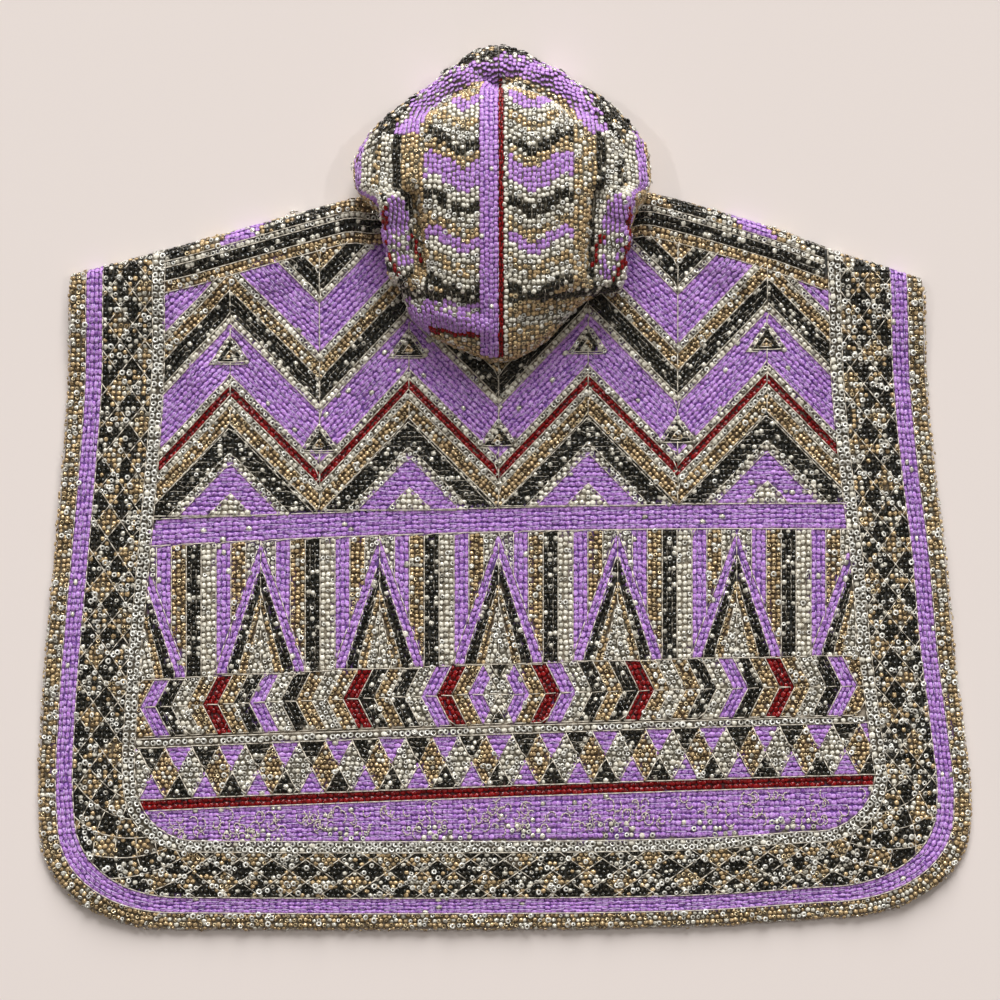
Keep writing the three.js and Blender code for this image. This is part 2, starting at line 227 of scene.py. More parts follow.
# %% Upper face of the back
def beside_fold(fold, x, y):
    """Share of the way along a fold, distance to its side, and the fold's length."""
    x1, y1, x2, y2 = fold[:4]
    length = math.hypot(x2 - x1, y2 - y1)
    place = ((x - x1) * (x2 - x1) + (y - y1) * (y2 - y1)) / length**2
    aside = ((x - x1) * (y2 - y1) - (y - y1) * (x2 - x1)) / length
    return place, aside, length


def fold_height(folds, x, y):
    """Height of long soft folds, each from one end to the other with its own height and half width."""
    height = np.zeros(np.broadcast(x, y).shape)
    for fold in folds:
        crest, width = fold[4:]
        place, aside, length = beside_fold(fold, x, y)
        past = np.maximum(np.maximum(-place, place - 1), 0) * length
        height += crest * np.exp(-((aside / width) ** 2) - (past / width) ** 2)
    return height


def panel_top(x, y):
    """Height of the back's upper face: raised along the shoulders and under the hood, else a soft swell."""
    in_from_shoulder = shoulder_line(x) - y
    in_from_edge = np.minimum(np.minimum(x - left_edge(y), right_edge(y) - x), y - hem(x))
    aside = np.hypot((x - hood_rest["x"]) / hood_rest["across"], (y - hood_rest["y"]) / hood_rest["up"])
    under_hood = 1 - smooth(aside, hood_rest["full"], hood_rest["none"])
    crest = np.maximum(1 - smooth(in_from_shoulder, crest_from, crest_to), under_hood)
    swell = panel_swell * smooth(in_from_edge, 0, swell_reach)
    fade = 1 - smooth(-in_from_shoulder, -folds_full, -folds_from)
    folds = fold_height(panel_folds, x, y) * (1 - under_hood) * fade
    return resting_top + np.maximum(np.maximum((crest_top - resting_top) * crest, swell) + folds, 0)


# %% The shoulder fold
least_turn, lowest_face = 1e-4, 0.4


def fold_turn(x):
    """How far the back turns down at x: none at the neck, a quarter turn on the shoulders."""
    return math.pi / 2 * smooth(np.abs(x - hood_seam_x), fold_none_within, fold_full_from)


def fold_place(x, past):
    """How far the cloth has gone out and down, at a length past the start of the fold."""
    turn = np.maximum(fold_turn(x), least_turn)
    bend = fold_radius * math.pi / 2
    heading = turn * np.clip(past / bend, 0, 1)
    straight = np.maximum(past - bend, 0)
    out = bend / turn * np.sin(heading) + straight * np.cos(turn)
    down = bend / turn * (1 - np.cos(heading)) + straight * np.sin(turn)
    return out, down


def fold_top(x):
    return panel_top(x, shoulder_line(x) - 2 * fold_radius)


def fold_length(x):
    """Length of cloth from the start of the fold to its edge on the surface."""
    return fold_radius * math.pi / 2 + fold_top(x) - fold_radius


def fold_start(x):
    return top_edge(x, back_neck_low) - fold_place(x, fold_length(x))[0]


def back_face(x, y):
    """Points of the back's upper face. Y is measured along the cloth, on over the shoulder fold."""
    start = fold_start(x)
    past = np.clip(y - start, 0, None)
    out, down = fold_place(x, past)
    flat = panel_top(x, np.minimum(y, start))
    height = np.where(past > 0, np.maximum(fold_top(x) - down, lowest_face), flat)
    return np.stack([x + 0 * y, np.minimum(y, start) + np.where(past > 0, out, 0), height], axis=-1)


print("the back is", round(float(right_edge(-300.0) - left_edge(-300.0))), "mm wide at its lower corners")

# %% [markdown]
# ## Plan of the back's pattern
# Bead embroidery is drawn on the cloth first: areas with thread outlines, each then filled with rows
# of one kind of bead. The plan does the same. It is a map with one square for each square millimetre
# of cloth, on which areas are painted in order, the later ones over the earlier. Two forms of area
# are enough: a patch with straight edges, and a strip between two curves for the borders and bands.

# %% Finishes, and how closely each is beaded
finishes = ["bare", "violet", "dark", "gold", "silver", "ivory", "red", "mixed", "edging", "rings",
            "lilac", "dusk"]
bead_pitch = {"bare": 8, "violet": 6.4, "dark": 5.2, "gold": 4.6, "silver": 5.2, "ivory": 5.6, "red": 5.2,
              "mixed": 5.0, "edging": 4.8, "rings": 6.4, "lilac": 5.0, "dusk": 5.0}
row_pitch = {"bare": 8, "violet": 4.8, "dark": 5.0, "gold": 4.6, "silver": 5.0, "ivory": 5.2, "red": 5.0,
             "mixed": 5.0, "edging": 4.8, "rings": 6.0, "lilac": 5.0, "dusk": 5.0}

# %% The plan and its two forms of area
plan_low, plan_size = np.array([-480.0, -450.0]), (830, 960)
plan = np.zeros(plan_size, int)
ground = np.zeros(plan_size, int)
areas = [None]
outlines = []
outline_step, points_along, points_across = 9.0, 3, 2


def on_plan(points):
    """Row and column of the plan's square at each point."""
    spot = np.round(points - plan_low).astype(int)
    return np.clip(spot[..., 1], 0, plan.shape[0] - 1), np.clip(spot[..., 0], 0, plan.shape[1] - 1)


def patch(corners, finish, heading):
    """An area with straight edges, whose bead rows run along heading."""
    corners = np.array(corners, float)
    ahead = np.roll(corners, -1, axis=0) - corners
    after = np.roll(corners, -1, axis=0)
    turn = np.sign(np.sum(corners[:, 0] * after[:, 1] - corners[:, 1] * after[:, 0]))
    low = np.floor(corners.min(axis=0))
    high = np.ceil(corners.max(axis=0)) + 1
    across, up = np.meshgrid(np.arange(low[0], high[0]), np.arange(low[1], high[1]))
    inside = np.ones(across.shape, bool)
    for corner, step in zip(corners, ahead):
        inside &= turn * (step[0] * (up - corner[1]) - step[1] * (across - corner[0])) >= 0
    rows, columns = on_plan(np.stack([across[inside], up[inside]], axis=-1))
    plan[rows, columns] = len(areas)
    ground[rows, columns] = finishes.index(finish)
    areas.append({"form": "patch", "finish": finish, "heading": unit(np.array(heading, float))})
    outlines.append((np.vstack([corners, corners[:1]]), len(areas) - 1))


def strip(outer, inner, start, end, finish, rows, edges=(True, True)):
    """An area between two shares of the way from the outer to the inner curve, beaded along them.

    Finish is a name, or a function of length along the strip and share that gives finish numbers."""
    length = path_length((outer + inner) / 2)
    area = {"form": "strip", "outer": outer, "inner": inner, "length": length, "start": start,
            "end": end, "finish": finish, "rows": rows}
    width = np.hypot(*(outer - inner).T).max() * (end - start)
    along = np.linspace(0, length[-1], int(length[-1] * points_along))[None, :]
    share = np.linspace(start, end, int(width * points_across) + 2)[:, None]
    points = strip_point(area, along, share)
    plan_rows, plan_columns = on_plan(points)
    plan[plan_rows, plan_columns] = len(areas)
    ground[plan_rows, plan_columns] = finish_numbers(finish, along, share)
    for wanted, edge in zip(edges, (start, end)):
        if wanted:
            outlines.append((strip_point(area, np.arange(0, length[-1], outline_step), edge), len(areas)))
    areas.append(area)


def finish_numbers(finish, along, share):
    """Finish numbers at places of a strip."""
    if callable(finish):
        return finish(along, share)
    return np.full(np.broadcast(along, share).shape, finishes.index(finish))


def strip_point(area, along, share):
    """Points of a strip at lengths along it and shares across it."""
    sides = [along_path(side, area["length"], along) for side in (area["outer"], area["inner"])]
    share = np.asarray(share)[..., None]
    return sides[0] * (1 - share) + sides[1] * share


# %% [markdown]
# The horizontal bands aren't quite level on the real cloth, which was pulled a little as it was
# beaded. Each line of the plan is therefore a shallow curve through its heights at the left, in the
# middle and at the right of the field.

# %% Lines of the field
field_left, field_middle, field_right = -366, -9, 371
lines = {
    "red low": (-323, -309, -297),
    "red high": (-312, -298, -286),
    "triangles high": (-260, -246, -234),
    "ring line high": (-251, -238, -228),
    "chevrons low": (-248.5, -235.5, -226.5),
    "chevrons high": (-191.5, -176, -167),
    "bar low": (-58.5, -43.5, -41),
    "bar high": (-31.5, -19.5, -14.5),
}


def line(name, x):
    """Height of one of the field's lines at x."""
    left, middle, right = lines[name]
    terms = np.polyfit([field_left, field_middle, field_right], [left, middle, right], 2)
    return np.polyval(terms, x)


def line_curve(name, start=-400, end=400, steps=81):
    x = np.linspace(start, end, steps)
    return np.stack([x, line(name, x)], axis=-1)


# %% [markdown]
# ## The upper field
# The upper field holds a general design in the garment's colours and scale: nested zigzags of wide
# violet and narrow gold, dark, silver and red rows, with small nested triangles on the violet.

# %% Nested zigzags
zigzag_half = 89.5
zigzag_rise = 92
zigzag_bands = [
    ("gold", 19), ("silver", 9), ("red", 12), ("silver", 9), ("violet", 52), ("ivory", 9), ("dark", 24),
    ("gold", 17), ("silver", 9), ("violet", 50), ("silver", 9), ("dark", 22), ("gold", 20), ("violet", 60),
]


def zigzag(step):
    """Height of the zigzag at one of its turns, over the bar."""
    return zigzag_rise * (step % 2)


for step in range(-5, 5):
    turns = [(hood_seam_x + place * zigzag_half, zigzag(place)) for place in (step, step + 1)]
    (x1, rise1), (x2, rise2) = turns
    base1, base2 = float(line("bar high", x1)), float(line("bar high", x2))
    slope = (x2 - x1, base2 + rise2 - base1 - rise1)
    patch([(x1, base1), (x2, base2), (x2, base2 + rise2), (x1, base1 + rise1)], "dark", slope)
    height = 0
    for finish, depth in zigzag_bands:
        low1, low2 = base1 + rise1 + height, base2 + rise2 + height
        patch([(x1, low1), (x2, low2), (x2, low2 + depth), (x1, low1 + depth)], finish, slope)
        height += depth


def nested_triangle(x, base, reach, rise, coats, sill_rise=0.0):
    """Triangles one inside the other, standing on base or a little higher each."""
    for finish, share in coats:
        sill = base + rise * sill_rise * (1 - share)
        tip = sill + rise * share
        patch([(x - reach * share, sill), (x + reach * share, sill), (x, tip)], finish, (1, 0))


large_coats = [("dark", 1), ("silver", 0.72), ("violet", 0.6), ("ivory", 0.26)]
small_coats = [("silver", 1), ("dark", 0.72), ("gold", 0.34)]
large_share, small_lift, small_reach, small_rise, small_sill = 0.97, 60, 21, 30, 0.25
for step in range(-4, 5):
    x = hood_seam_x + step * zigzag_half
    base = float(line("bar high", x))
    if step % 2:
        nested_triangle(x, base, zigzag_half * large_share, zigzag_rise * large_share, large_coats)
    foot = base + zigzag(step) + small_lift
    nested_triangle(x, foot, small_reach, small_rise, small_coats, small_sill)
print("areas in the upper field:", len(areas) - 1)

# %% [markdown]
# ## Stripes under the bar
# Between the violet bar and the chevrons stand plain upright stripes and tall narrow triangles.

# %% Upright stripes and tall triangles
stripe_set = ["silver", "violet", "gold", "dark", "ivory", "violet", "gold", "silver"]
spike_coats = [("violet", 1), ("dark", 0.76), ("gold", 0.5), ("silver", 0.3)]
spike_half, spike_foot, lowest_tip = 59.5, 0.78, 0.25


def upright(x1, x2, finish):
    """A stripe from the chevrons up to the bar."""
    corners = [(x, float(line(name, x))) for x, name in (
        (x1, "chevrons high"), (x2, "chevrons high"), (x2, "bar low"), (x1, "bar low"))]
    patch(corners, finish, (0, 1))


stripe_width = 2 * spike_half / len(stripe_set)
for step in range(-4, 4):
    x0 = hood_seam_x + step * 2 * spike_half
    for place, finish in enumerate(stripe_set):
        upright(x0 + place * stripe_width, x0 + (place + 1) * stripe_width, finish)

for step in range(-3, 4):
    x = hood_seam_x + step * 2 * spike_half
    low = float(line("chevrons high", x))
    high = float(line("bar low", x))
    reach = spike_half * spike_foot
    for finish, share in spike_coats:
        tip = low + (high - low) * (lowest_tip + (1 - lowest_tip) * share)
        for side in (-1, 1):
            foot = x + side * reach * share
            patch([(x, low), (foot, low), (x, tip)], finish, (foot - x, low - tip))

# %% [markdown]
# ## Chevrons, triangles and the red line
# Rows of chevrons and of facing triangles are common in beaded cloth. The chevrons point outwards
# from the middle on both sides.

# %% Chevron band
chevron_order = [
    "silver", "violet", "gold", "red", "violet", "silver", "dark", "gold", "dark", "red", "gold", "silver",
    "gold", "dark", "silver", "violet", "dark", "gold", "red", "gold", "silver", "dark", "violet", "gold",
]
chevron_width, chevron_point = 15.6, 15


def chevron(x, side, width, finish):
    """One chevron whose inner edge is at x, as an upper and a lower half."""
    low, high = "chevrons low", "chevrons high"
    tip = side * chevron_point
    for edge in (low, high):
        corners = []
        for place, offset, name in ((x, 0, edge), (x + side * width, 0, edge),
                                    (x + side * width, tip, None), (x, tip, None)):
            middle = (line(low, place) + line(high, place)) / 2
            corners.append((place + offset, float(middle if name is None else line(name, place))))
        patch(corners, finish, np.subtract(corners[3], corners[0]))


for side in (-1, 1):
    x = hood_seam_x - side * chevron_point
    for finish in chevron_order:
        chevron(x, side, chevron_width, finish)
        x += side * chevron_width
middle_low, middle_high = float(line("chevrons low", hood_seam_x)), float(line("chevrons high", hood_seam_x))
middle_up = (middle_low + middle_high) / 2
for finish, reach in (("silver", chevron_point), ("dark", 8)):
    for height in (middle_low, middle_high):
        corners = [(hood_seam_x - reach, height), (hood_seam_x + reach, height),
                   (hood_seam_x, height + (middle_up - height) * reach / chevron_point)]
        patch(corners, finish, (1, 0))

# %% Facing triangles
triangle_pitch = 26.7
for step in range(-15, 16):
    x = hood_seam_x + step * triangle_pitch
    low, high = float(line("red high", x)), float(line("triangles high", x))
    half, middle = triangle_pitch / 2, (low + high) / 2
    between = x + half
    lozenge = [(between - half, middle), (between, low), (between + half, middle), (between, high)]
    patch(lozenge, "gold" if step % 2 else "silver", (1, 0))
    pair = ("dark", "violet") if step % 2 else ("violet", "dark")
    patch([(x - half, high), (x + half, high), (x, middle)], pair[0], (1, 0))
    patch([(x - half, low), (x + half, low), (x, middle)], pair[1], (1, 0))

# %% Bands of the field
field_bottom, sparkle_from, sparkle_above = -372.0, 0.42, 0.38
field_floor = line_curve("red low") * (1, 0) + (0, field_bottom)


def sparkling_violet(along, share):
    """Violet, with silver scattered in its lower half."""
    drift = np.sin(along * 0.83 + share * 17) * np.sin(along * 0.31 - share * 9)
    sparkles = (share > sparkle_from) & (drift > sparkle_above)
    return np.where(sparkles, finishes.index("silver"), finishes.index("violet"))


strip(line_curve("red low"), field_floor, 0, 1, sparkling_violet, 12, edges=(False, False))
violet_band_area = len(areas) - 1
strip(line_curve("red low"), line_curve("red high"), 0, 1, "red", 2)
strip(line_curve("triangles high"), line_curve("ring line high"), 0, 1, "rings", 1)
strip(line_curve("bar low"), line_curve("bar high"), 0, 1, "violet", 5)

# %% [markdown]
# ## Stripes along the shoulders, and the border
# Plain stripes follow the shoulders. The border runs down the sides and round the hem: an edge of
# metallic sequins, a violet stripe, a lattice of lozenges, and a line of silver rings. Its two curves
# are matched point by point, so that the lattice turns the round corners without a break.

# %% Shoulder stripes
shoulder_run = ["gold", "lilac", "dark", "dark", "edging", "violet", "mixed", "dark", "gold"]
run_length, run_slant, stripes_depth, stripe_points = 36, 1.6, 34, 70
shoulder_spans = ((-440, -118), (424, 106))


def shoulder_finish(along, share):
    """Short lengths of each finish, slanting across the stripe."""
    step = np.floor(along / run_length + share * run_slant).astype(int)
    return np.array([finishes.index(name) for name in shoulder_run])[step % len(shoulder_run)]


shoulder_stripes = [(0.0, 0.4, shoulder_finish, 4), (0.4, 0.52, "silver", 1),
                    (0.52, 0.78, "dark", 2), (0.78, 1.0, "gold", 2)]
for start, end in shoulder_spans:
    x = np.linspace(start, end, stripe_points)
    outer = np.stack([x, fold_start(x) + fold_length(x)], axis=-1)
    inner = np.stack([x, fold_start(x) - stripes_depth], axis=-1)
    for low, high, finish, rows in shoulder_stripes:
        strip(outer, inner, low, high, finish, rows)

# %% Curves of the border
border_width = {"side": 94, "hem": 86}
inner_radius = 60
border_top, corner_high, corner_in = 280, -280, 300
corner_points, side_points = 70, 120
border_shares = {"edge": 0.16, "violet": 0.34, "lattice": 0.87}


def resampled(points, count):
    """A curve as evenly spaced points."""
    points = np.array(points, float)
    length = path_length(points)
    return along_path(points, length, np.linspace(0, length[-1], count))


def corner_curves(side):
    """Outer and inner curve of one lower corner, from the side to the hem."""
    edge, corner = (left_edge, left_corner) if side < 0 else (right_edge, right_corner)
    y = np.linspace(corner_high, corner["y"], 12)
    angle = np.linspace(0, math.pi / 2, 40)
    outer = list(zip(edge(y), y))
    outer += [(corner["x"] + side * corner["across"] * math.cos(a), corner["y"] - corner["up"] * math.sin(a))
              for a in angle]
    x = np.linspace(corner["x"], side * corner_in, 8)
    outer += list(zip(x, hem(x)))
    top = float(edge(corner_high)) - side * border_width["side"]
    foot = float(hem(side * corner_in)) + border_width["hem"]
    centre = (float(edge(corner["y"])) - side * (border_width["side"] + inner_radius), foot + inner_radius)
    inner = [(top, corner_high)]
    inner += [(centre[0] + side * inner_radius * math.cos(a), centre[1] - inner_radius * math.sin(a))
              for a in angle]
    inner += [(side * corner_in, foot)]
    return resampled(outer, corner_points), resampled(inner, corner_points)


def border_curves():
    """Outer and inner curve of the whole border, from the left shoulder round to the right one."""
    y = np.linspace(border_top, corner_high, side_points)
    x = np.linspace(-corner_in, corner_in, side_points)
    left_outer = np.stack([left_edge(y), y], axis=-1)
    right_outer = np.stack([right_edge(y), y], axis=-1)
    side_step = np.array([border_width["side"], 0])
    low_outer = np.stack([x, hem(x)], axis=-1)
    (left_out, left_in), (right_out, right_in) = corner_curves(-1), corner_curves(1)
    outer = [left_outer, left_out[1:-1], low_outer, right_out[::-1][1:-1], right_outer[::-1]]
    inner = [left_outer + side_step, left_in[1:-1], low_outer + (0, border_width["hem"]),
             right_in[::-1][1:-1], (right_outer - side_step)[::-1]]
    return np.vstack(outer), np.vstack(inner)


# %% Lattice of the border
lozenge_length, lozenge_depth, lattice_depth, first_row = 33, 25, 50, 5


def lattice_place(along, share):
    """Which two diagonals of the lattice a place lies between."""
    span = border_shares["lattice"] - border_shares["violet"]
    depth = (share - border_shares["violet"]) / span * lattice_depth - first_row
    rising = np.floor(along / lozenge_length + depth / lozenge_depth + 0.5)
    falling = np.floor(along / lozenge_length - depth / lozenge_depth + 0.5)
    return rising, falling


def lattice_finish(along, share):
    """Dusk lozenges, with mixed and edging ones between them in turn."""
    rising, falling = lattice_place(along, share)
    row = (rising - falling).astype(int)
    column = np.floor((rising + falling) / 2).astype(int)
    light = np.where((column + row // 2) % 2 == 0, finishes.index("mixed"), finishes.index("edging"))
    return np.where(row % 2 == 0, finishes.index("dusk"), light)


border_outer, border_inner = border_curves()
strip(border_outer, border_inner, 0, border_shares["edge"], "edging", 3, edges=(False, False))
strip(border_outer, border_inner, border_shares["edge"], border_shares["violet"], "violet", 4)
strip(border_outer, border_inner, border_shares["violet"], border_shares["lattice"], lattice_finish, 10)
strip(border_outer, border_inner, border_shares["lattice"], 1, "rings", 2)
lattice_area = areas[-2]
for diagonal in range(-3, int(lattice_area["length"][-1] / lozenge_length) + 4):
    for slant in (-1, 1):
        depth = np.linspace(-first_row, lattice_depth - first_row, 9)
        along = (diagonal - 0.5 - slant * depth / lozenge_depth) * lozenge_length
        share = border_shares["violet"] + (depth + first_row) / lattice_depth * (
            border_shares["lattice"] - border_shares["violet"])
        inside = (along > 0) & (along < lattice_area["length"][-1])
        if inside.sum() > 2:
            outlines.append((strip_point(lattice_area, along[inside], share[inside]), len(areas) - 2))
print("areas on the back:", len(areas) - 1, "and outlines:", len(outlines))

# %% [markdown]
# ## Rows of beads from the plan
# A bead worker fits whole beads into each row. So each patch is measured across its rows and divided
# evenly, and then each row is divided into whole beads. A bead is kept only where its area still
# shows on the plan.

# %% Places of the beads on the back
fewest_squares, row_reach, row_step_along, least_step = 8, 0.7, 2.0, 1e-6


def patch_rows(area, x, y):
    """Beads of a patch: place, heading, length and width."""
    pitch, row_step = bead_pitch[area["finish"]], row_pitch[area["finish"]]
    along, across = area["heading"], np.array([-area["heading"][1], area["heading"][0]])
    u, v = x * along[0] + y * along[1], x * across[0] + y * across[1]
    low, high = v.min() - 0.5, v.max() + 0.5
    count = max(1, round((high - low) / row_step))
    step = (high - low) / count
    made = []
    for row in range(count):
        height = low + (row + 0.5) * step
        near = u[np.abs(v - height) <= row_reach]
        if len(near) < 2:
            continue
        start, end = near.min() - 0.5, near.max() + 0.5
        beads = max(1, round((end - start) / pitch))
        length = (end - start) / beads
        places = start + (np.arange(beads) + 0.5) * length
        points = places[:, None] * along + height * across
        made.append((points, np.tile(along, (beads, 1)), np.full(beads, length), np.full(beads, step)))
    return made


def strip_rows(area):
    """Beads of a strip, row by row along its curves."""
    made = []
    fine = np.arange(0, area["length"][-1], row_step_along)
    finish = area["finish"] if isinstance(area["finish"], str) else "dark"
    for row in range(area["rows"]):
        share = area["start"] + (row + 0.5) / area["rows"] * (area["end"] - area["start"])
        points = strip_point(area, fine, np.full(len(fine), share))
        length = path_length(points)
        beads = max(1, round(length[-1] / bead_pitch[finish]))
        places = (np.arange(beads) + 0.5) * length[-1] / beads
        along = np.interp(places, length, fine)
        spots = strip_point(area, along, np.full(beads, share))
        before, after = [strip_point(area, along + step, np.full(beads, share))
                         for step in (-look_ahead, look_ahead)]
        ahead = after - before
        ahead /= np.maximum(np.hypot(*ahead.T), least_step)[:, None]
        first, last = [strip_point(area, along, np.full(beads, area[name])) for name in ("start", "end")]
        width = np.hypot(*(last - first).T) / area["rows"]
        numbers = finish_numbers(area["finish"], along, np.full(beads, share))
        made.append((spots, ahead, np.full(beads, length[-1] / beads), width, numbers))
    return made


def beads_on_back():
    """All the beads of the back as one table of arrays."""
    rows_of, columns_of = np.nonzero(plan)
    order = np.argsort(plan[rows_of, columns_of], kind="stable")
    rows_of, columns_of = rows_of[order], columns_of[order]
    numbers = plan[rows_of, columns_of]
    cuts = np.searchsorted(numbers, np.arange(len(areas) + 1))
    table = []
    for number in range(1, len(areas)):
        area = areas[number]
        low, high = cuts[number], cuts[number + 1]
        if high - low < fewest_squares:
            continue
        if area["form"] == "patch":
            x = columns_of[low:high] + plan_low[0]
            y = rows_of[low:high] + plan_low[1]
            made = [(*row, np.full(len(row[0]), finishes.index(area["finish"])))
                    for row in patch_rows(area, x, y)]
        else:
            made = strip_rows(area)
        for points, heading, length, width, finish in made:
            shown = plan[on_plan(points)] == number
            table.append((points[shown], heading[shown], length[shown], width[shown], finish[shown]))
    return [np.concatenate(column) for column in zip(*table)]


def on_cloth(points, margin=1.0):
    """Do places of the plan lie on the cloth, at least a margin in from its edges?"""
    x, y = points[:, 0], points[:, 1]
    from_sides = np.minimum(x - left_edge(y), right_edge(y) - x)
    from_ends = np.minimum(y - hem(x), fold_start(x) + fold_length(x) - y)
    return np.minimum(from_sides, from_ends) > margin


bead_point, bead_heading, bead_length, bead_width, bead_finish = beads_on_back()
print("beads on the back:", int(on_cloth(bead_point).sum()))

# %% [markdown]
# ## Form of the hood
# The hood stands full, as in the picture: two halves round a crown seam, closed below into a pouch.
# Each section runs from the seam down the side and under it. A place on the hood is its section and
# the angle round the section, which the cloth, the seam strip and the bead rows all share.

# %% Sizes of the hood
band_reach = {-1: 16.6, 1: 7.4}
band_top_y, band_end_y = 409, 131
hood_columns = ("y", "left", "right", "crown", "lift")
hood_rows = np.array([
    (439.5, 0, 0, 13, 13), (432.5, 25, 24, 34, 3), (420.5, 41, 47, 47, 0), (404.5, 61, 73, 58, 0),
    (387.5, 84, 100, 69, 0), (368.5, 108, 121, 79, 0), (348.5, 128, 138, 85, 0), (326.5, 140, 147, 88, 0),
    (304.5, 142, 149, 88, 0), (287.5, 133, 144, 87, 0), (271.5, 115, 135, 85, 0), (250.5, 108, 128, 82, 0),
    (226.5, 103, 122, 78, 0), (202.5, 98, 112, 72, 0), (184.5, 92, 82, 67, 0), (166.5, 83, 64, 61, 0),
    (150.5, 62, 50, 54, 0), (138.5, 35, 33, 46, 1), (130.5, 15, 17, 37, 5), (126.5, 0, 0, 26, 12.7),
])
last_place = len(hood_rows) - 1
widest_share, across_power, crown_power, under_power = 0.36, 0.9, 0.9, 0.45
mouth = {"y": 330, "half_length": 75, "half_width": 95, "widest": 0.9}
# Folds of the hood, as those of the back, with x counted from the crown seam
hood_folds = [
    (-107, 284, -97, 212, 9, 9),
    (-85, 282, -77, 214, -7, 9),
    (122, 286, 113, 205, 9, 10),
    (98, 286, 90, 214, -7, 9),
    (-92, 190, -22, 173, -4, 7),
    (24, 166, 68, 190, -4, 7),
    (-124, 334, -98, 292, -4, 9),
    (130, 330, 106, 292, -4, 9),
]
rim_crease = {"y": 318, "radius": 90, "depth": 8, "width": 8, "spread": 1.15}

# %% Finer folds of the hood's cloth, with x counted from the crown seam
fine_rim_depth = 4
fine_hood_folds = [
    (-103, 284, -94, 216, 6, 8),
    (-119, 274, -110, 222, -5, 5),
    (-86, 286, -78, 212, -7, 6),
    (-112, 264, -92, 257, -4, 4),
    (-108, 240, -88, 231, -4, 4),
    (117, 286, 110, 203, 6, 8),
    (134, 274, 127, 212, -5, 5),
    (98, 286, 92, 208, -7, 6),
    (108, 266, 128, 258, -4, 4),
    (102, 238, 122, 229, -4, 4),
    (0, 412, 0, 401, -12, 9),
    (-12, 410, -52, 428, -4, 4),
    (-14, 402, -60, 412, 3, 5),
    (-12, 394, -50, 392, -3, 5),
    (12, 410, 50, 430, -4, 4),
    (14, 403, 66, 411, 3, 5),
    (12, 396, 52, 390, -3, 5),
    (-70, 380, -104, 352, -3, 6),
    (76, 378, 112, 350, -3, 6),
    (-66, 182, -18, 160, 4, 8),
    (-58, 158, -14, 144, -3, 5),
    (20, 152, 62, 176, -3.5, 6),
    (30, 190, 88, 214, 3, 7),
    (-24, 356, -58, 340, 2, 9),
    (26, 250, 60, 262, -2, 9),
]

# %% Points of the hood
def along_hood(column, place):
    """A column of the hood's table at any place between its rows."""
    values = hood_rows[:, hood_columns.index(column)]
    slope = np.gradient(values)
    if column == "y":
        slope[0] = slope[-1] = 0
    low = np.clip(np.floor(place).astype(int), 0, last_place - 1)
    return hermite(place - low, values[low], values[low + 1], slope[low], slope[low + 1])


back_ends, rim_fade_from, under_fade = (2, 28), 0.6, (-0.1, 0.35)
widest_strip, least_angle = 0.6, 1e-6


def lies_on(x, y):
    """Height of what the hood lies on: the back, and past the shoulder line the surface."""
    return (crest_top + seam_gap) * (1 - smooth(y - shoulder_line(x), *back_ends))


def half_reach(side, place):
    """How far a half reaches to its side."""
    return np.maximum(along_hood("left" if side < 0 else "right", place) - seam_gap / 2, 0)


def hood_form(side, place, angle):
    """Points of a half's smooth form, before its folds."""
    y = along_hood("y", place)
    round_share = np.maximum(np.cos(angle), 0) ** across_power
    x = hood_seam_x + side * (seam_gap / 2 + half_reach(side, place) * round_share)
    low = lies_on(x, y) + np.maximum(along_hood("lift", place), 0)
    crown = np.maximum(along_hood("crown", place), low)
    middle = low + (crown - low) * widest_share
    rise = np.sin(angle)
    over = middle + (crown - middle) * np.maximum(rise, 0) ** crown_power
    under = middle - (middle - low) * np.maximum(-rise, 0) ** under_power
    return np.stack(np.broadcast_arrays(x, y, np.where(rise >= 0, over, under)), axis=-1)


def hood_normal(side, place, angle, nudge=0.02):
    """Outward directions of that form. The seam's and the two ends' are straight."""
    up, down = np.minimum(angle + nudge, math.pi / 2), np.maximum(angle - nudge, -math.pi / 2)
    around = hood_form(side, place, up) - hood_form(side, place, down)
    onward = (hood_form(side, np.minimum(place + nudge, last_place), angle)
              - hood_form(side, np.maximum(place - nudge, 0), angle))
    normal = np.cross(around, onward) * side
    on_seam = np.broadcast_to(angle, normal.shape[:-1]) >= math.pi / 2 - least_angle
    normal[..., 0] = np.where(on_seam, 0, normal[..., 0])
    normal /= np.maximum(np.linalg.norm(normal, axis=-1, keepdims=True), 1e-9)
    pole_top = np.broadcast_to(place <= 0, normal.shape[:-1])[..., None]
    pole_end = np.broadcast_to(place >= last_place, normal.shape[:-1])[..., None]
    return np.where(pole_top, (0.0, 1.0, 0.0), np.where(pole_end, (0.0, -1.0, 0.0), normal))


def hood_fold(x, y, angle):
    """How far the folds move the cloth out or in. They fade out under the hood."""
    from_seam = x - hood_seam_x
    turned = np.arctan2(from_seam, y - rim_crease["y"])
    aside = (np.hypot(from_seam, y - rim_crease["y"]) - rim_crease["radius"]) / rim_crease["width"]
    fade = 1 - smooth(np.abs(turned), rim_fade_from * rim_crease["spread"], rim_crease["spread"])
    crease = -(rim_crease["depth"] + fine_rim_depth) * np.exp(-aside**2) * fade
    folds = fold_height(hood_folds, from_seam, y) + fold_height(fine_hood_folds, from_seam, y)
    return (folds + crease) * smooth(np.sin(angle), *under_fade)


def hood_face(side, place, angle, out=0.0):
    """Points of the hood's outer face, moved out by out."""
    point = hood_form(side, place, angle)
    at_pole = (place <= 0) | (place >= last_place)
    fold = np.where(at_pole, 0, hood_fold(point[..., 0], point[..., 1], angle))
    return point + hood_normal(side, place, angle) * (fold + out)[..., None]


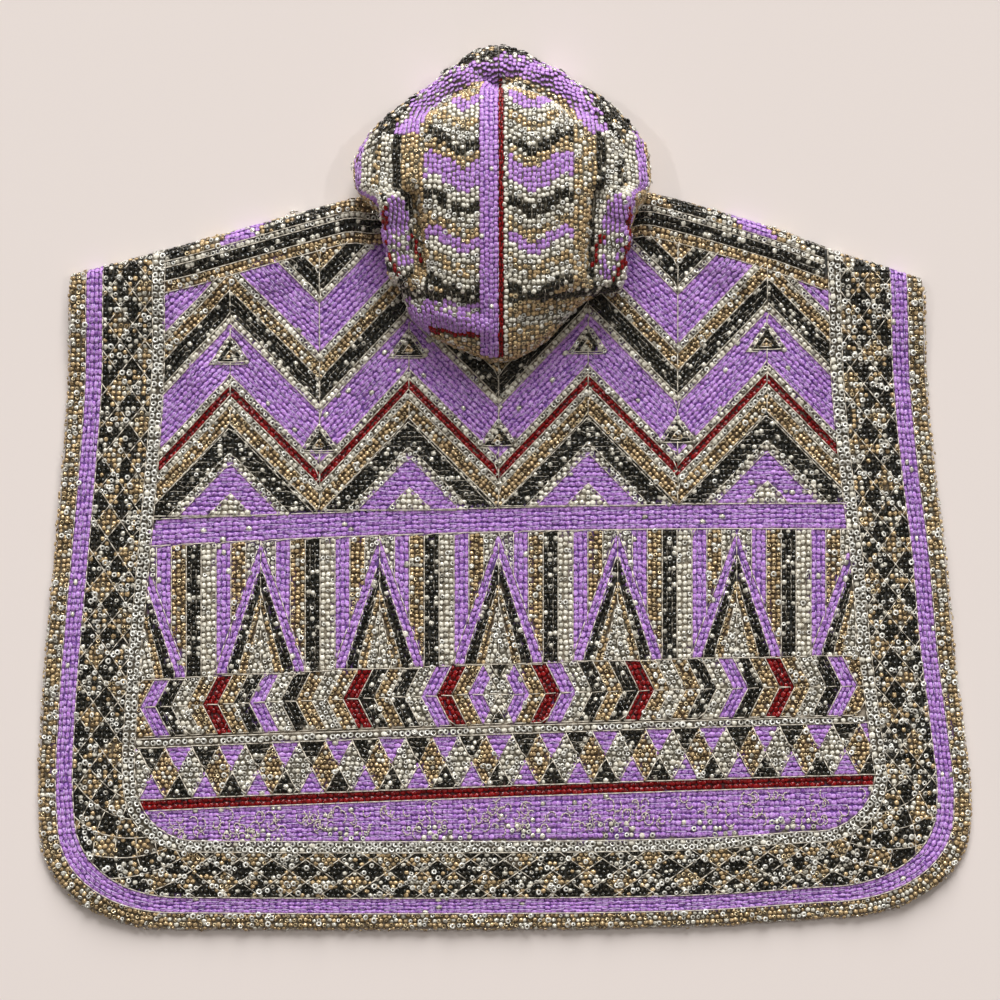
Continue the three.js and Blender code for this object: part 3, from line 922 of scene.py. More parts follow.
def mouth_reach(y):
    """Half width of the face opening."""
    share = np.abs(y - mouth["y"]) / mouth["half_length"]
    return np.where(share >= 1, 0, mouth["half_width"] * rounded_off(share))


def angle_at(share):
    return np.arccos(np.clip(share, 0, 1) ** (1 / across_power))


def section_angles(side, place, columns):
    """Angles of a section's columns: the seam, the strip's edge, and evenly on to the end."""
    reach = np.maximum(half_reach(side, place), 1e-6)
    strip_angle = angle_at(np.minimum((band_reach[side] - seam_gap / 2) / reach, widest_strip))
    last_angle = -angle_at(np.minimum(mouth_reach(along_hood("y", place)) / reach, mouth["widest"]))
    share = np.linspace(0, 1, columns)[None, :]
    spread = strip_angle[:, None] + (last_angle - strip_angle)[:, None] * share
    return np.concatenate([np.full((len(place), 1), math.pi / 2), spread], axis=1)


# %% [markdown]
# ## Sheets of cloth
# Each cloth piece is a grid of points on its formula, joined into faces and given its thickness by a
# Solidify modifier. The cloth under the beads was dyed or painted to match them, so the colour of
# the ground goes into an attribute, point by point.

# %% Colours of the ground cloth, in the order of the finishes
ground_hex = ["#A99D8C", "#6C4494", "#1B1B16", "#4A3720", "#6A6353", "#8A806E",
              "#3A070D", "#35322A", "#5A4E3C", "#544B3B", "#6A5090", "#22211B"]
ground_colours = np.array([linear(colour) for colour in ground_hex])
weld_within, smooth_below = 1e-5, math.radians(50)


def select_only(piece):
    bpy.ops.object.select_all(action="DESELECT")
    piece.select_set(True)
    bpy.context.view_layer.objects.active = piece


def sheet_piece(name, grid, colours, thickness):
    """A grid of points in millimetres as a cloth piece with a thickness and a ground colour."""
    rows, columns = grid.shape[:2]
    number = np.arange(rows * columns).reshape(rows, columns)
    faces = np.stack([number[:-1, :-1], number[:-1, 1:], number[1:, 1:], number[1:, :-1]], axis=-1)
    mesh = bpy.data.meshes.new(name)
    mesh.from_pydata((grid.reshape(-1, 3) * MM).tolist(), [], faces.reshape(-1, 4).tolist())
    attribute = mesh.color_attributes.new("ground", "FLOAT_COLOR", "POINT")
    colours = np.broadcast_to(colours, (rows, columns, 4))
    attribute.data.foreach_set("color", colours.astype(np.float32).ravel())
    piece = bpy.data.objects.new(name, mesh)
    bpy.context.collection.objects.link(piece)
    select_only(piece)
    bpy.ops.object.mode_set(mode="EDIT")
    bpy.ops.mesh.select_all(action="SELECT")
    bpy.ops.mesh.remove_doubles(threshold=weld_within)
    bpy.ops.object.mode_set(mode="OBJECT")
    solid = piece.modifiers.new("thickness", "SOLIDIFY")
    solid.thickness = thickness * MM
    solid.offset = -1
    bpy.ops.object.modifier_apply(modifier=solid.name)
    bpy.ops.object.shade_smooth_by_angle(angle=smooth_below)
    return piece


def panel_grid(top_at, inset, columns, rows, crowding):
    """Flat grid between a panel's four edges, its rows crowded towards the round corners."""
    across = np.linspace(0, 1, columns + 1)[None, :]
    up = (np.linspace(0, 1, rows + 1) ** crowding)[:, None]
    share = math.sqrt(0.5)
    low_left = left_corner["x"] - left_corner["across"] * share
    low_right = right_corner["x"] + right_corner["across"] * share
    top_left, top_right = shoulder_rows[0][0], shoulder_rows[-1][0]

    def bottom(at):
        x = low_left + (low_right - low_left) * at
        return np.stack([x + inset * (1 - 2 * at), hem(x) + inset], axis=-1)

    def top(at):
        x = top_left + (top_right - top_left) * at
        return np.stack([x, top_at(x)], axis=-1)

    def side(at, edge, foot, head, sign):
        y = foot + (head - foot) * at
        return np.stack([edge(y) + sign * inset * (1 - at), y + inset * (1 - at)], axis=-1)

    left = side(up, left_edge, hem(low_left), top_at(np.array(top_left)), 1)
    right = side(up, right_edge, hem(low_right), top_at(np.array(top_right)), -1)
    zero, one = np.zeros((1, 1)), np.ones((1, 1))
    across_, up_ = across[..., None], up[..., None]
    corners = (bottom(zero) * (1 - across_) * (1 - up_) + bottom(one) * across_ * (1 - up_)
               + top(zero) * (1 - across_) * up_ + top(one) * across_ * up_)
    return bottom(across) * (1 - up_) + top(across) * up_ + left * (1 - across_) + right * across_ - corners


# %% Back and front panels
back_columns, back_grid_rows, back_crowding, fold_rows = 132, 96, 1.2, 8
flat_grid = panel_grid(fold_start, 0, back_columns, back_grid_rows, back_crowding)
past_start = np.linspace(0, 1, fold_rows + 1)[1:, None] * fold_length(flat_grid[-1, :, 0])[None, :]
fold_grid = np.stack([np.broadcast_to(flat_grid[-1, :, 0], past_start.shape),
                      flat_grid[-1, :, 1] + past_start], axis=-1)
cloth_grid = np.concatenate([flat_grid, fold_grid])
back_colours = ground_colours[ground[on_plan(cloth_grid)]]
back_cloth = sheet_piece("back_cloth", back_face(cloth_grid[..., 0], cloth_grid[..., 1]), back_colours, wall)


def front_top(x):
    """The front's upper edge, which ends inside the back's shoulder fold."""
    short = front_short_at_neck * (1 - fold_turn(x) / (math.pi / 2))
    return top_edge(x, front_neck_low) - wall - seam_gap - short


front_columns, front_grid_rows, front_crowding = 66, 50, 1.5
front_flat = panel_grid(front_top, front_inset, front_columns, front_grid_rows, front_crowding)
front_points = np.concatenate([front_flat, np.full(front_flat.shape[:2] + (1,), wall)], axis=-1)
front_colours = ground_colours[ground[on_plan(front_flat)]]
front_cloth = sheet_piece("front_cloth", front_points, front_colours, wall)


def flat_area(grid):
    """Area of a grid in square metres."""
    one, other = grid[1:, 1:] - grid[:-1, :-1], grid[:-1, 1:] - grid[1:, :-1]
    if grid.shape[-1] == 2:
        faces = np.abs(one[..., 0] * other[..., 1] - one[..., 1] * other[..., 0])
    else:
        faces = np.linalg.norm(np.cross(one, other), axis=-1)
    return float(faces.sum() / 2) * MM * MM


# %% Hood halves and the strip over their seam
hood_places, hood_cloth_columns = np.linspace(0, last_place, 96), 44


def hood_cloth(side, name):
    """One half's cloth, and its area."""
    angles = section_angles(side, hood_places, hood_cloth_columns)
    angles[0] = angles[-1] = 0
    grid = hood_face(side, hood_places[:, None], angles)
    grid = grid if side < 0 else grid[:, ::-1]
    piece = sheet_piece(name, grid, ground_colours[finishes.index("silver")], wall)
    return piece, flat_area(grid)


hood_left_cloth, hood_left_area = hood_cloth(-1, "hood_left_cloth")
hood_right_cloth, hood_right_area = hood_cloth(1, "hood_right_cloth")


def seam_strip():
    """Grid of the strip's outer face, from its right edge over the seam to its left edge."""
    y = along_hood("y", hood_places)
    places = hood_places[(y <= band_top_y) & (y >= band_end_y)]
    sides = []
    for side in (1, -1):
        edge = section_angles(side, places, 2)[:, 1]
        share = np.linspace(1, 0, 4)[None, :-1]
        angles = math.pi / 2 + (edge[:, None] - math.pi / 2) * share
        half = hood_face(side, places[:, None], angles, seam_gap + band_wall)
        sides.append(half if side > 0 else half[:, ::-1])
    middle = (hood_face(-1, places, np.full(len(places), math.pi / 2), seam_gap + band_wall)
              + hood_face(1, places, np.full(len(places), math.pi / 2), seam_gap + band_wall)) / 2
    return np.concatenate([sides[0], middle[:, None], sides[1]], axis=1)


strip_grid = seam_strip()
strip_columns = [finishes.index(name) for name in ["ivory"] + ["red"] * 3 + ["violet"] * 3]
seam_strip_cloth = sheet_piece("seam_strip_cloth", strip_grid, ground_colours[strip_columns], band_wall)
strip_area = flat_area(strip_grid)
print("hood halves", round(hood_left_area, 3), round(hood_right_area, 3), "and strip", round(strip_area, 4))

# %% [markdown]
# ## One bead and one sequin
# A glass bead lies on the cloth as a small dome, and a sequin is a cupped ring. Each is modelled once
# from a primitive, with few faces because there are thousands, and read as plain arrays for copying.

# %% Patterns of the bead and the sequin
bead_cut, shoulder_from, shoulder_to, shoulder_swell = 0.01, 0.3, 0.9, (1.2, 1.2, 1.12)


def pattern_of(piece):
    """A modelled bead's points and faces, after which the model itself is removed.

    Cutting lists the faces in another order each time, so they are sorted."""
    mesh = piece.data
    points = np.array([vertex.co[:] for vertex in mesh.vertices])
    faces = sorted(tuple(face.vertices) for face in mesh.polygons)
    bpy.data.objects.remove(piece)
    return points, faces


def bead_dome():
    """A round bead of radius 1 whose lower part is cut off flat."""
    bpy.ops.object.select_all(action="DESELECT")
    bpy.ops.mesh.primitive_uv_sphere_add(segments=6, ring_count=4, radius=1)
    piece = bpy.context.active_object
    bpy.ops.object.mode_set(mode="EDIT")
    bpy.ops.mesh.select_all(action="SELECT")
    bpy.ops.mesh.bisect(plane_co=(0, 0, bead_cut), plane_no=(0, 0, 1), clear_inner=True, use_fill=True)
    bpy.ops.object.mode_set(mode="OBJECT")
    for vertex in piece.data.vertices:
        vertex.select = shoulder_from < vertex.co.z < shoulder_to
    bpy.ops.object.mode_set(mode="EDIT")
    bpy.ops.transform.resize(value=shoulder_swell, center_override=(0, 0, 0))
    bpy.ops.object.mode_set(mode="OBJECT")
    return pattern_of(piece)


def sequin_ring():
    """A cupped ring of outer radius 1, as it lies on the cloth."""
    bpy.ops.object.select_all(action="DESELECT")
    bpy.ops.mesh.primitive_torus_add(major_segments=7, minor_segments=3, major_radius=0.62, minor_radius=0.38)
    return pattern_of(bpy.context.active_object)


dome_pattern = bead_dome()
ring_pattern = sequin_ring()
print("bead", len(dome_pattern[1]), "faces, sequin", len(ring_pattern[1]), "faces")

# %% Many copies as one mesh
def joined_copies(name, pattern, place, forward, normal, sizes, tone):
    """Copies of a pattern as one mesh: forward is its long axis, sizes its three half sizes."""
    points, faces = pattern
    count = len(place)
    normal = unit(normal)
    aside = unit(np.cross(normal, forward))
    forward = np.cross(aside, normal)
    axes = np.stack([forward * sizes[:, :1], aside * sizes[:, 1:2], normal * sizes[:, 2:]], axis=1)
    vertices = (np.einsum("vk,nkj->nvj", points, axes) + place[:, None]) * MM
    sides = np.array([len(face) for face in faces])
    corners = np.concatenate([np.array(face) for face in faces])
    offsets = np.arange(count)[:, None] * len(points)
    mesh = bpy.data.meshes.new(name)
    mesh.vertices.add(count * len(points))
    mesh.vertices.foreach_set("co", vertices.astype(np.float32).ravel())
    mesh.loops.add(count * len(corners))
    mesh.loops.foreach_set("vertex_index", (corners[None, :] + offsets).astype(np.int32).ravel())
    mesh.polygons.add(count * len(faces))
    starts = np.concatenate([[0], np.cumsum(sides)[:-1]])
    starts = starts[None, :] + np.arange(count)[:, None] * len(corners)
    mesh.polygons.foreach_set("loop_start", starts.astype(np.int32).ravel())
    mesh.update(calc_edges=True)
    mesh.polygons.foreach_set("use_smooth", np.ones(count * len(faces), bool))
    attribute = mesh.color_attributes.new("bead", "FLOAT_COLOR", "POINT")
    shade = np.zeros((count, len(points), 4), np.float32)
    shade[..., 0] = tone[:, None]
    # Green is each point's height in its pattern, which the bead materials paint as shade towards the foot
    shade[..., 1] = points[None, :, 2]
    shade[..., 3] = 1
    attribute.data.foreach_set("color", shade.ravel())
    mesh.validate()
    piece = bpy.data.objects.new(name, mesh)
    bpy.context.collection.objects.link(piece)
    triangles = int((sides - 2).sum()) * count
    print(name, count, "copies,", triangles, "triangles")
    return piece


# %% [markdown]
# ## Materials
# Glass seed beads are coloured glass with a hard bright surface, pressed with small facets whose bumps
# catch the light, and each facet's colour is also lifted by a painted glint of its own size. Lined beads
# have foil inside and glow. Sequins are metallised film, so they shine like metal with a little roughness.
# Each bead takes a tone of its own from its attribute, because no two in a batch are quite alike, and it
# is painted with shade towards its foot. Fine threads cross the violet and the black ones.

# %% Bead and sequin materials
facet_size, thread_cell, thread_core, thread_half = 1.9, 5.5, 0.11, 0.385
# The height share paints shade towards each bead's foot, and the facet share paints a glint on each facet
tone_share, foot_shade_share, facet_glint_share = 0.36, 0.16, 0.56
ramp_low, ramp_high, thread_cover = 0.12, 0.88, 0.8
bump_strength, bump_depth = 0.4, 0.0006


def bead_material(name, deep, clear, roughness, metallic=0.0, crossing_thread=None, facet_width=facet_size,
                  cell_width=thread_cell, half_width=thread_half):
    """Colour runs from deep near the thread to clear on top, which paints shade towards each bead's foot,
    and each bead has its own tone.

    Small facets each catch the light with their bumps and with a painted glint of their own in the colour,
    and a fine thread may cross the beads."""
    material, shader = new_material(name)
    bead = add_node(material, "ShaderNodeAttribute", attribute_name="bead")
    parts = add_node(material, "ShaderNodeSeparateColor", {"Color": bead.outputs["Color"]})
    place = add_node(material, "ShaderNodeTexCoord")
    facets = add_node(material, "ShaderNodeTexVoronoi", {"Vector": place.outputs["Object"],
                                                         "Scale": 1 / (facet_width * MM)})
    facet_glint = add_node(material, "ShaderNodeSeparateColor", {"Color": facets.outputs["Color"]})
    tone = add_node(material, "ShaderNodeMath", {0: parts.outputs["Red"], 1: tone_share},
                    operation="MULTIPLY")
    raised = add_node(material, "ShaderNodeMath", {0: parts.outputs["Green"], 1: foot_shade_share,
                                                   2: tone.outputs["Value"]}, operation="MULTIPLY_ADD")
    total = add_node(material, "ShaderNodeMath", {0: facet_glint.outputs["Red"], 1: facet_glint_share,
                                                  2: raised.outputs["Value"]}, operation="MULTIPLY_ADD")
    ramp = add_node(material, "ShaderNodeValToRGB", {"Fac": total.outputs["Value"]})
    for stop, position, colour in zip(ramp.color_ramp.elements, (ramp_low, ramp_high), (deep, clear)):
        stop.position = position
        stop.color = linear(colour)
    bump = add_node(material, "ShaderNodeBump", {"Height": facets.outputs["Distance"],
                                                 "Strength": bump_strength, "Distance": bump_depth})
    colour = ramp.outputs["Color"]
    if crossing_thread:
        cells = add_node(material, "ShaderNodeTexVoronoi", {"Vector": place.outputs["Object"],
                                                            "Scale": 1 / (cell_width * MM)},
                         feature="DISTANCE_TO_EDGE")
        near = add_node(material, "ShaderNodeMapRange", {
            "Value": cells.outputs["Distance"], "From Min": thread_core / cell_width,
            "From Max": half_width / cell_width, "To Min": thread_cover, "To Max": 0.0})
        mixed = add_node(material, "ShaderNodeMixRGB", {"Fac": near.outputs["Result"], "Color1": colour,
                                                        "Color2": linear(crossing_thread)})
        colour = mixed.outputs["Color"]
    set_sockets(material, shader, {"Base Color": colour, "Roughness": roughness, "Metallic": metallic,
                                   "Normal": bump.outputs["Normal"]})
    return material


# Colour near the thread, where each bead is painted with shade, colour on top, roughness,
# metal share and the thread that crosses the beads
materials = {
    "violet_bead": bead_material("violet_glass_beads", "#602A8E", "#C88CE2", 0.44, 0, "#D6B2EA",
                                 facet_width=1.4, cell_width=3.8, half_width=0.45),
    "dark_bead": bead_material("black_glass_beads", "#040403", "#20201A", 0.12, 0, "#575145"),
    "red_bead": bead_material("red_glass_beads", "#3A0206", "#92060A", 0.24),
    "gold_bead": bead_material("gold_lined_glass_beads", "#46321A", "#E6C898", 0.22, 0.3),
    "silver_bead": bead_material("silver_lined_glass_beads", "#5E584A", "#FFFAEA", 0.14, 0.15),
    "ivory_bead": bead_material("pearl_beads", "#A0957F", "#FFFBEC", 0.24),
    "silver_sequin": bead_material("silver_sequins", "#A8A090", "#FFFFF8", 0.16, 0.12),
    "gold_sequin": bead_material("gold_sequins", "#7A5E34", "#F8E4BA", 0.16, 0.4),
}

# %% Cloth and thread materials
thread_spacing, twist_shading_size = 0.9, 1.1
waves_per_unit = 20


def cloth_material(name):
    """Fine net over satin: the ground colour, and a bump of crossing threads."""
    material, shader = new_material(name)
    colour = add_node(material, "ShaderNodeAttribute", attribute_name="ground")
    place = add_node(material, "ShaderNodeTexCoord")
    scale = 1 / (thread_spacing * MM) / waves_per_unit
    weave = [add_node(material, "ShaderNodeTexWave", {"Vector": place.outputs["Object"], "Scale": scale,
                                                      "Distortion": 0.4}, bands_direction=axis)
             for axis in ("X", "Y")]
    crossing = add_node(material, "ShaderNodeMath", {0: weave[0].outputs["Fac"], 1: weave[1].outputs["Fac"]},
                        operation="MAXIMUM")
    bump = add_node(material, "ShaderNodeBump", {"Height": crossing.outputs["Value"],
                                                 "Strength": bump_strength, "Distance": bump_depth})
    set_sockets(material, shader, {"Base Color": colour.outputs["Color"], "Normal": bump.outputs["Normal"],
                                   "Roughness": 0.7, "Sheen Weight": 0.2})
    return material


def thread_of(name, shaded, lit, metallic):
    """A twisted thread, painted with shade and highlight along its twist: its colour runs between its shaded
    and its lit colour.
    """
    material, shader = new_material(name)
    place = add_node(material, "ShaderNodeTexCoord")
    twist_light_and_shade = add_node(material, "ShaderNodeTexNoise", {"Vector": place.outputs["Object"], "Detail": 1.0,
                                                      "Scale": 1 / (twist_shading_size * MM)})
    ramp = add_node(material, "ShaderNodeValToRGB", {"Fac": twist_light_and_shade.outputs["Fac"]})
    for stop, colour in zip(ramp.color_ramp.elements, (shaded, lit)):
        stop.color = linear(colour)
    set_sockets(material, shader, {"Base Color": ramp.outputs["Color"], "Roughness": 0.45,
                                   "Metallic": metallic})
    return material


net_cloth = cloth_material("net_over_satin")
# Each thread's two colours are its painted shade and its painted highlight
thread_material = thread_of("metallic_thread", "#B5AA98", "#F4ECDC", 0.2)
lilac_thread = thread_of("lilac_silk_thread", "#BC98DC", "#F6E8FC", 0.0)
for piece in (back_cloth, front_cloth, hood_left_cloth, hood_right_cloth, seam_strip_cloth):
    piece.data.materials.append(net_cloth)

# %% [markdown]
# ## Beads on the back
# Each finish is a mixture: even a gold area has some silver beads and a few sequins in it, which is
# what makes the real cloth sparkle. The kind, the tone and a small tilt of each bead are drawn from
# the seeded generator, and then the beads are laid on the cloth's face.

# %% Mixtures, and the drawing of kinds
mixtures = {
    "violet": (("violet_bead", 0.985), ("silver_bead", 0.015)),
    "dark": (("dark_bead", 0.84), ("silver_bead", 0.14), ("silver_sequin", 0.02)),
    "gold": (("gold_bead", 0.64), ("gold_sequin", 0.22), ("silver_bead", 0.14)),
    "silver": (("silver_sequin", 0.42), ("ivory_bead", 0.26), ("silver_bead", 0.32)),
    "ivory": (("ivory_bead", 0.6), ("silver_bead", 0.2), ("silver_sequin", 0.2)),
    "red": (("red_bead", 1.0),),
    "mixed": (("dark_bead", 0.26), ("silver_bead", 0.2), ("gold_bead", 0.3), ("silver_sequin", 0.24)),
    "edging": (("gold_bead", 0.46), ("silver_bead", 0.18), ("gold_sequin", 0.25), ("silver_sequin", 0.11)),
    "rings": (("silver_sequin", 0.88), ("ivory_bead", 0.12)),
    "lilac": (("violet_bead", 0.6), ("silver_bead", 0.22), ("silver_sequin", 0.18)),
    "dusk": (("dark_bead", 0.74), ("silver_bead", 0.08), ("gold_bead", 0.1), ("silver_sequin", 0.08)),
    "bare": (("silver_bead", 1.0),),
}
kinds = list(materials)


def draw_kinds(finish_number):
    """The kind of bead for each place, by the mixture of its finish."""
    drawn = chance.random(len(finish_number))
    kind = np.zeros(len(finish_number), int)
    for number, finish in enumerate(finishes):
        here = finish_number == number
        names, shares = zip(*mixtures[finish])
        pick = np.minimum(np.searchsorted(np.cumsum(shares), drawn[here]), len(names) - 1)
        kind[here] = np.array([kinds.index(name) for name in names])[pick]
    return kind


bead_height, length_fullness, width_fullness, widest_half = 1.65, 0.485, 0.475, 2.8
close_height, close_fullness = 1.05, 0.58
sequin_height, sequin_lift, sequin_lean = 1.5, 1.2, 2.2
least_ring, most_ring, ring_line_reach, ring_fullness = 2.2, 3.1, 3.6, 1.04
# The ring line's sequins get a painted reflection, a lift of their tone
middle_tone, tone_spread, ring_line_painted_reflection, batch_share = 0.5, 0.27, 0.35, 0.1
tilt_spread, swell_spread, shift_spread, turn_spread, looser_rows = 0.12, 0.07, 0.3, 0.1, 1.7
back_looseness, edge_looseness = 0.15, 0.9


def lay_beads(prefix, point, forward, normal, length, width, finish_number, looseness=0.0, painted_light=0.0):
    """Lays beads as one piece for each kind, and returns the pieces by kind."""
    kind = draw_kinds(finish_number)
    count = len(point)
    batch = np.sin(point[:, 0] / 31 + np.sin(point[:, 1] / 47)) * np.sin(point[:, 1] / 23 + point[:, 0] / 90)
    # Painted light lifts the tone where asked, as on the hood, and the ring line's sequins get a painted
    # reflection
    brightness = middle_tone + painted_light + ring_line_painted_reflection * (finish_number == finishes.index("rings"))
    tone = np.clip(chance.normal(brightness, tone_spread, count) + batch_share * batch, 0, 1)
    tilt = chance.normal(0, tilt_spread, (count, 3))
    swell = chance.normal(1, swell_spread, count)
    aside = np.cross(normal, forward)
    unevenness = np.where(finish_number == finishes.index("violet"), 1, looser_rows)[:, None]
    shift = chance.normal(0, shift_spread, (count, 2)) * unevenness
    point = point + forward * shift[:, :1] + aside * shift[:, 1:]
    point = point + normal * (np.abs(chance.normal(0, 1, count)) * looseness)[:, None]
    forward = forward + aside * chance.normal(0, turn_spread, (count, 1)) * unevenness
    made = {}
    for number, name in enumerate(kinds):
        here = kind == number
        if not here.any():
            continue
        is_sequin = name.endswith("sequin")
        lean = normal[here] + tilt[here] * (sequin_lean if is_sequin else 1)
        if is_sequin:
            on_ring_line = finish_number[here] == finishes.index("rings")
            reach = np.clip((length[here] + width[here]) / 4 * ring_fullness, least_ring, most_ring)
            reach = np.where(on_ring_line, ring_line_reach, reach) * swell[here]
            sizes = np.stack([reach, reach, np.full(here.sum(), sequin_height)], axis=1)
            place = point[here] + normal[here] * sequin_lift
        else:
            close = name in ("violet_bead", "red_bead")
            half_length = length[here] * (close_fullness if close else length_fullness)
            half_width = np.minimum(width[here] * width_fullness, widest_half)
            height = np.full(here.sum(), close_height if close else bead_height)
            sizes = np.stack([half_length, half_width, height], axis=1)
            sizes *= swell[here][:, None]
            place = point[here]
        pattern = ring_pattern if is_sequin else dome_pattern
        title = prefix + "_" + name + "s"
        piece = joined_copies(title, pattern, place, forward[here], lean, sizes, tone[here])
        piece.data.materials.append(materials[name])
        made[name] = piece
    return made


# %% Beads of the back
lowest_bead, hood_cover_from, hood_cover = 4.0, 160, 30


def under_hood(x, y):
    """Is a place so far under the hood that nothing of it shows?"""
    table = hood_rows[np.argsort(hood_rows[:, 0])]
    left, right = [np.interp(y, table[:, 0], table[:, column]) for column in (1, 2)]
    from_seam = x - hood_seam_x
    return (y > hood_cover_from) & (from_seam > -left + hood_cover) & (from_seam < right - hood_cover)


hidden = under_hood(bead_point[:, 0], bead_point[:, 1])
keep = on_cloth(bead_point) & ~hidden
x, y = bead_point[keep].T
heading = bead_heading[keep]
face_point = back_face(x, y)
face_point[:, 2] = np.maximum(face_point[:, 2], lowest_bead)
across_step = back_face(x + 1, y) - back_face(x - 1, y)
up_step = back_face(x, y + 1) - back_face(x, y - 1)
face_normal = unit(np.cross(across_step, up_step))
face_forward = unit(across_step * heading[:, :1] + up_step * heading[:, 1:])
back_table = (face_point, face_forward, face_normal, bead_length[keep], bead_width[keep], bead_finish[keep])
back_beads = lay_beads("back", *back_table, looseness=back_looseness)

# %% A row of beads along the cloth's edge
edge_bead_step, edge_bead_drop, edge_bead_out = 4.6, 2.2, 0.4
edge_outward, edge_upward, past_fold_start = 0.85, 0.5, 4


def edge_row():
    """Beads sewn round the cut edge, facing outwards."""
    length = path_length(border_outer)
    spots = np.arange(0, length[-1], edge_bead_step)
    place = along_path(border_outer, length, spots)
    ahead = path_heading(border_outer, length, spots)
    outward = np.stack([ahead[:, 1], -ahead[:, 0]], axis=-1)
    inside = place[:, 1] < fold_start(place[:, 0]) + past_fold_start
    place, ahead, outward = place[inside], ahead[inside], outward[inside]
    point = back_face(place[:, 0], place[:, 1]) - (0, 0, edge_bead_drop)
    point[:, 2] = np.maximum(point[:, 2], lowest_bead)
    point[:, :2] += outward * edge_bead_out
    forward = np.concatenate([ahead, np.zeros((len(ahead), 1))], axis=1)
    normal = unit(np.concatenate([outward * edge_outward, np.full((len(ahead), 1), edge_upward)], axis=1))
    size = np.full(len(ahead), edge_bead_step)
    return point, forward, normal, size, size, np.full(len(ahead), finishes.index("edging"))


edge_beads = lay_beads("edge", *edge_row(), looseness=edge_looseness)

# %% [markdown]
# ## Beads on the hood
# On the hood the rows run lengthwise, from the peak to the pouch, each at its own distance from the
# crown seam, so that they stay parallel on the round form. Nested zigzag rows cross the crown, with
# the plain lengthwise stripes of the cheeks on both sides.

# %% Rows of the hood
hood_row_step, hood_bead_step = 4.6, 5.0
under_limit, end_margin, fewest_places, section_count, angle_count = -0.55, 0.12, 6, 420, 150


def hood_bead_rows(side):
    """Places, directions and distances of all the beads of one half."""
    places = np.linspace(end_margin, last_place - end_margin, section_count)
    angles = np.linspace(math.pi / 2, under_limit, angle_count)
    grid = hood_face(side, places[:, None], angles[None, :])
    steps = np.linalg.norm(np.diff(grid, axis=1), axis=-1)
    girth = np.concatenate([np.zeros((len(places), 1)), np.cumsum(steps, axis=1)], axis=1)
    distances = np.arange(hood_row_step / 2, girth[:, -1].max(), hood_row_step)
    table = []
    for distance in distances:
        angle = np.array([np.interp(distance, row, angles, right=np.nan) for row in girth])
        valid = ~np.isnan(angle)
        if valid.sum() < fewest_places:
            continue
        at, turn = places[valid], angle[valid]
        lift = seam_gap + band_wall if distance < band_reach[side] else 0.0
        on_strip = (along_hood("y", at) <= band_top_y) & (along_hood("y", at) >= band_end_y)
        path = hood_face(side, at, turn, np.where(on_strip, lift, 0.0))
        length = path_length(path)
        count = max(1, round(length[-1] / hood_bead_step))
        spots = (np.arange(count) + 0.5) * length[-1] / count
        point = along_path(path, length, spots)
        ahead = path_heading(path, length, spots)
        place, turned = np.interp(spots, length, at), np.interp(spots, length, turn)
        normal = hood_normal(side, place, turned)
        table.append((point, ahead, normal, np.full(count, length[-1] / count), np.full(count, hood_row_step),
                      np.full(count, distance), place))
    return [np.concatenate(column) for column in zip(*table)]


def crown_length():
    """Length along the crown seam at any place."""
    places = np.linspace(0, last_place, 300)
    return places, path_length(hood_face(-1, places, np.full(len(places), math.pi / 2)))


crown_bands = ["silver", "dark", "gold", "violet", "violet", "ivory", "dark", "silver", "gold", "violet",
               "ivory", "gold"]
crown_band_depth, crown_half, crown_rise, crown_reach = 12.0, 33.0, 21.0, 75.0
cheek_bands = [(75, "gold"), (97, "dark"), (107, "silver"), (118, "mixed"), (129, "ivory"),
               (141, "violet"), (156, "gold"), (999, "mixed")]
rim_bands = [(80, "gold"), (88, "violet"), (104, "lilac"), (110, "dusk")]
rim_shift, rim_from, rim_slant = 3, 338, 0.1
pouch_bands = {
    -1: [(0, "gold"), (146, "red"), (151, "violet"), (165, "lilac"), (178, "dark"), (186, "silver")],
    1: [(0, "gold"), (158, "silver"), (168, "gold"), (180, "dark")],
}
pouch_top, pouch_slant = 186, 0.12
ear_half, ear_edge, ear_shift, ear_lilac_from, ear_edge_from = 11, 15.5, 4, 0.45, 0.12
ear_spots, ear_spot_gap, ear_spot_width = (0.5, 0.86), 2, 5


def banded(values, bands):
    """Finish number by the band that a value lies in."""
    limits = [limit for limit, _ in bands]
    names = np.array([finishes.index(name) for _, name in bands])
    return names[np.clip(np.searchsorted(limits, values, side="right") - 1, 0, len(bands) - 1)]


def on_ears(side, x, y, finish):
    """The folded ears: violet along the fold, with a wavy red edge outside and red spots inside."""
    place, aside, _ = beside_fold(hood_folds[0 if side < 0 else 2], x, y)
    outward = ear_shift - side * aside + 2.2 * np.sin(place * 9) + 1.2 * np.sin(place * 23)
    half = ear_half * rounded_off(np.clip(2 * place - 1, -1, 1) ** 2)
    along_ear = (place > -0.02) & (place < 1.02)
    violet = np.where(place < ear_lilac_from, finishes.index("violet"), finishes.index("lilac"))
    finish = np.where(along_ear & (np.abs(outward) < half), violet, finish)
    edge = along_ear & (outward >= half) & (outward < half + ear_edge - ear_half) & (place > ear_edge_from)
    inward = -outward - half - ear_spot_gap
    spots = (place > ear_spots[0]) & (place < ear_spots[1]) & (inward > 0) & (inward < ear_spot_width)
    return np.where(edge | spots, finishes.index("red"), finish)


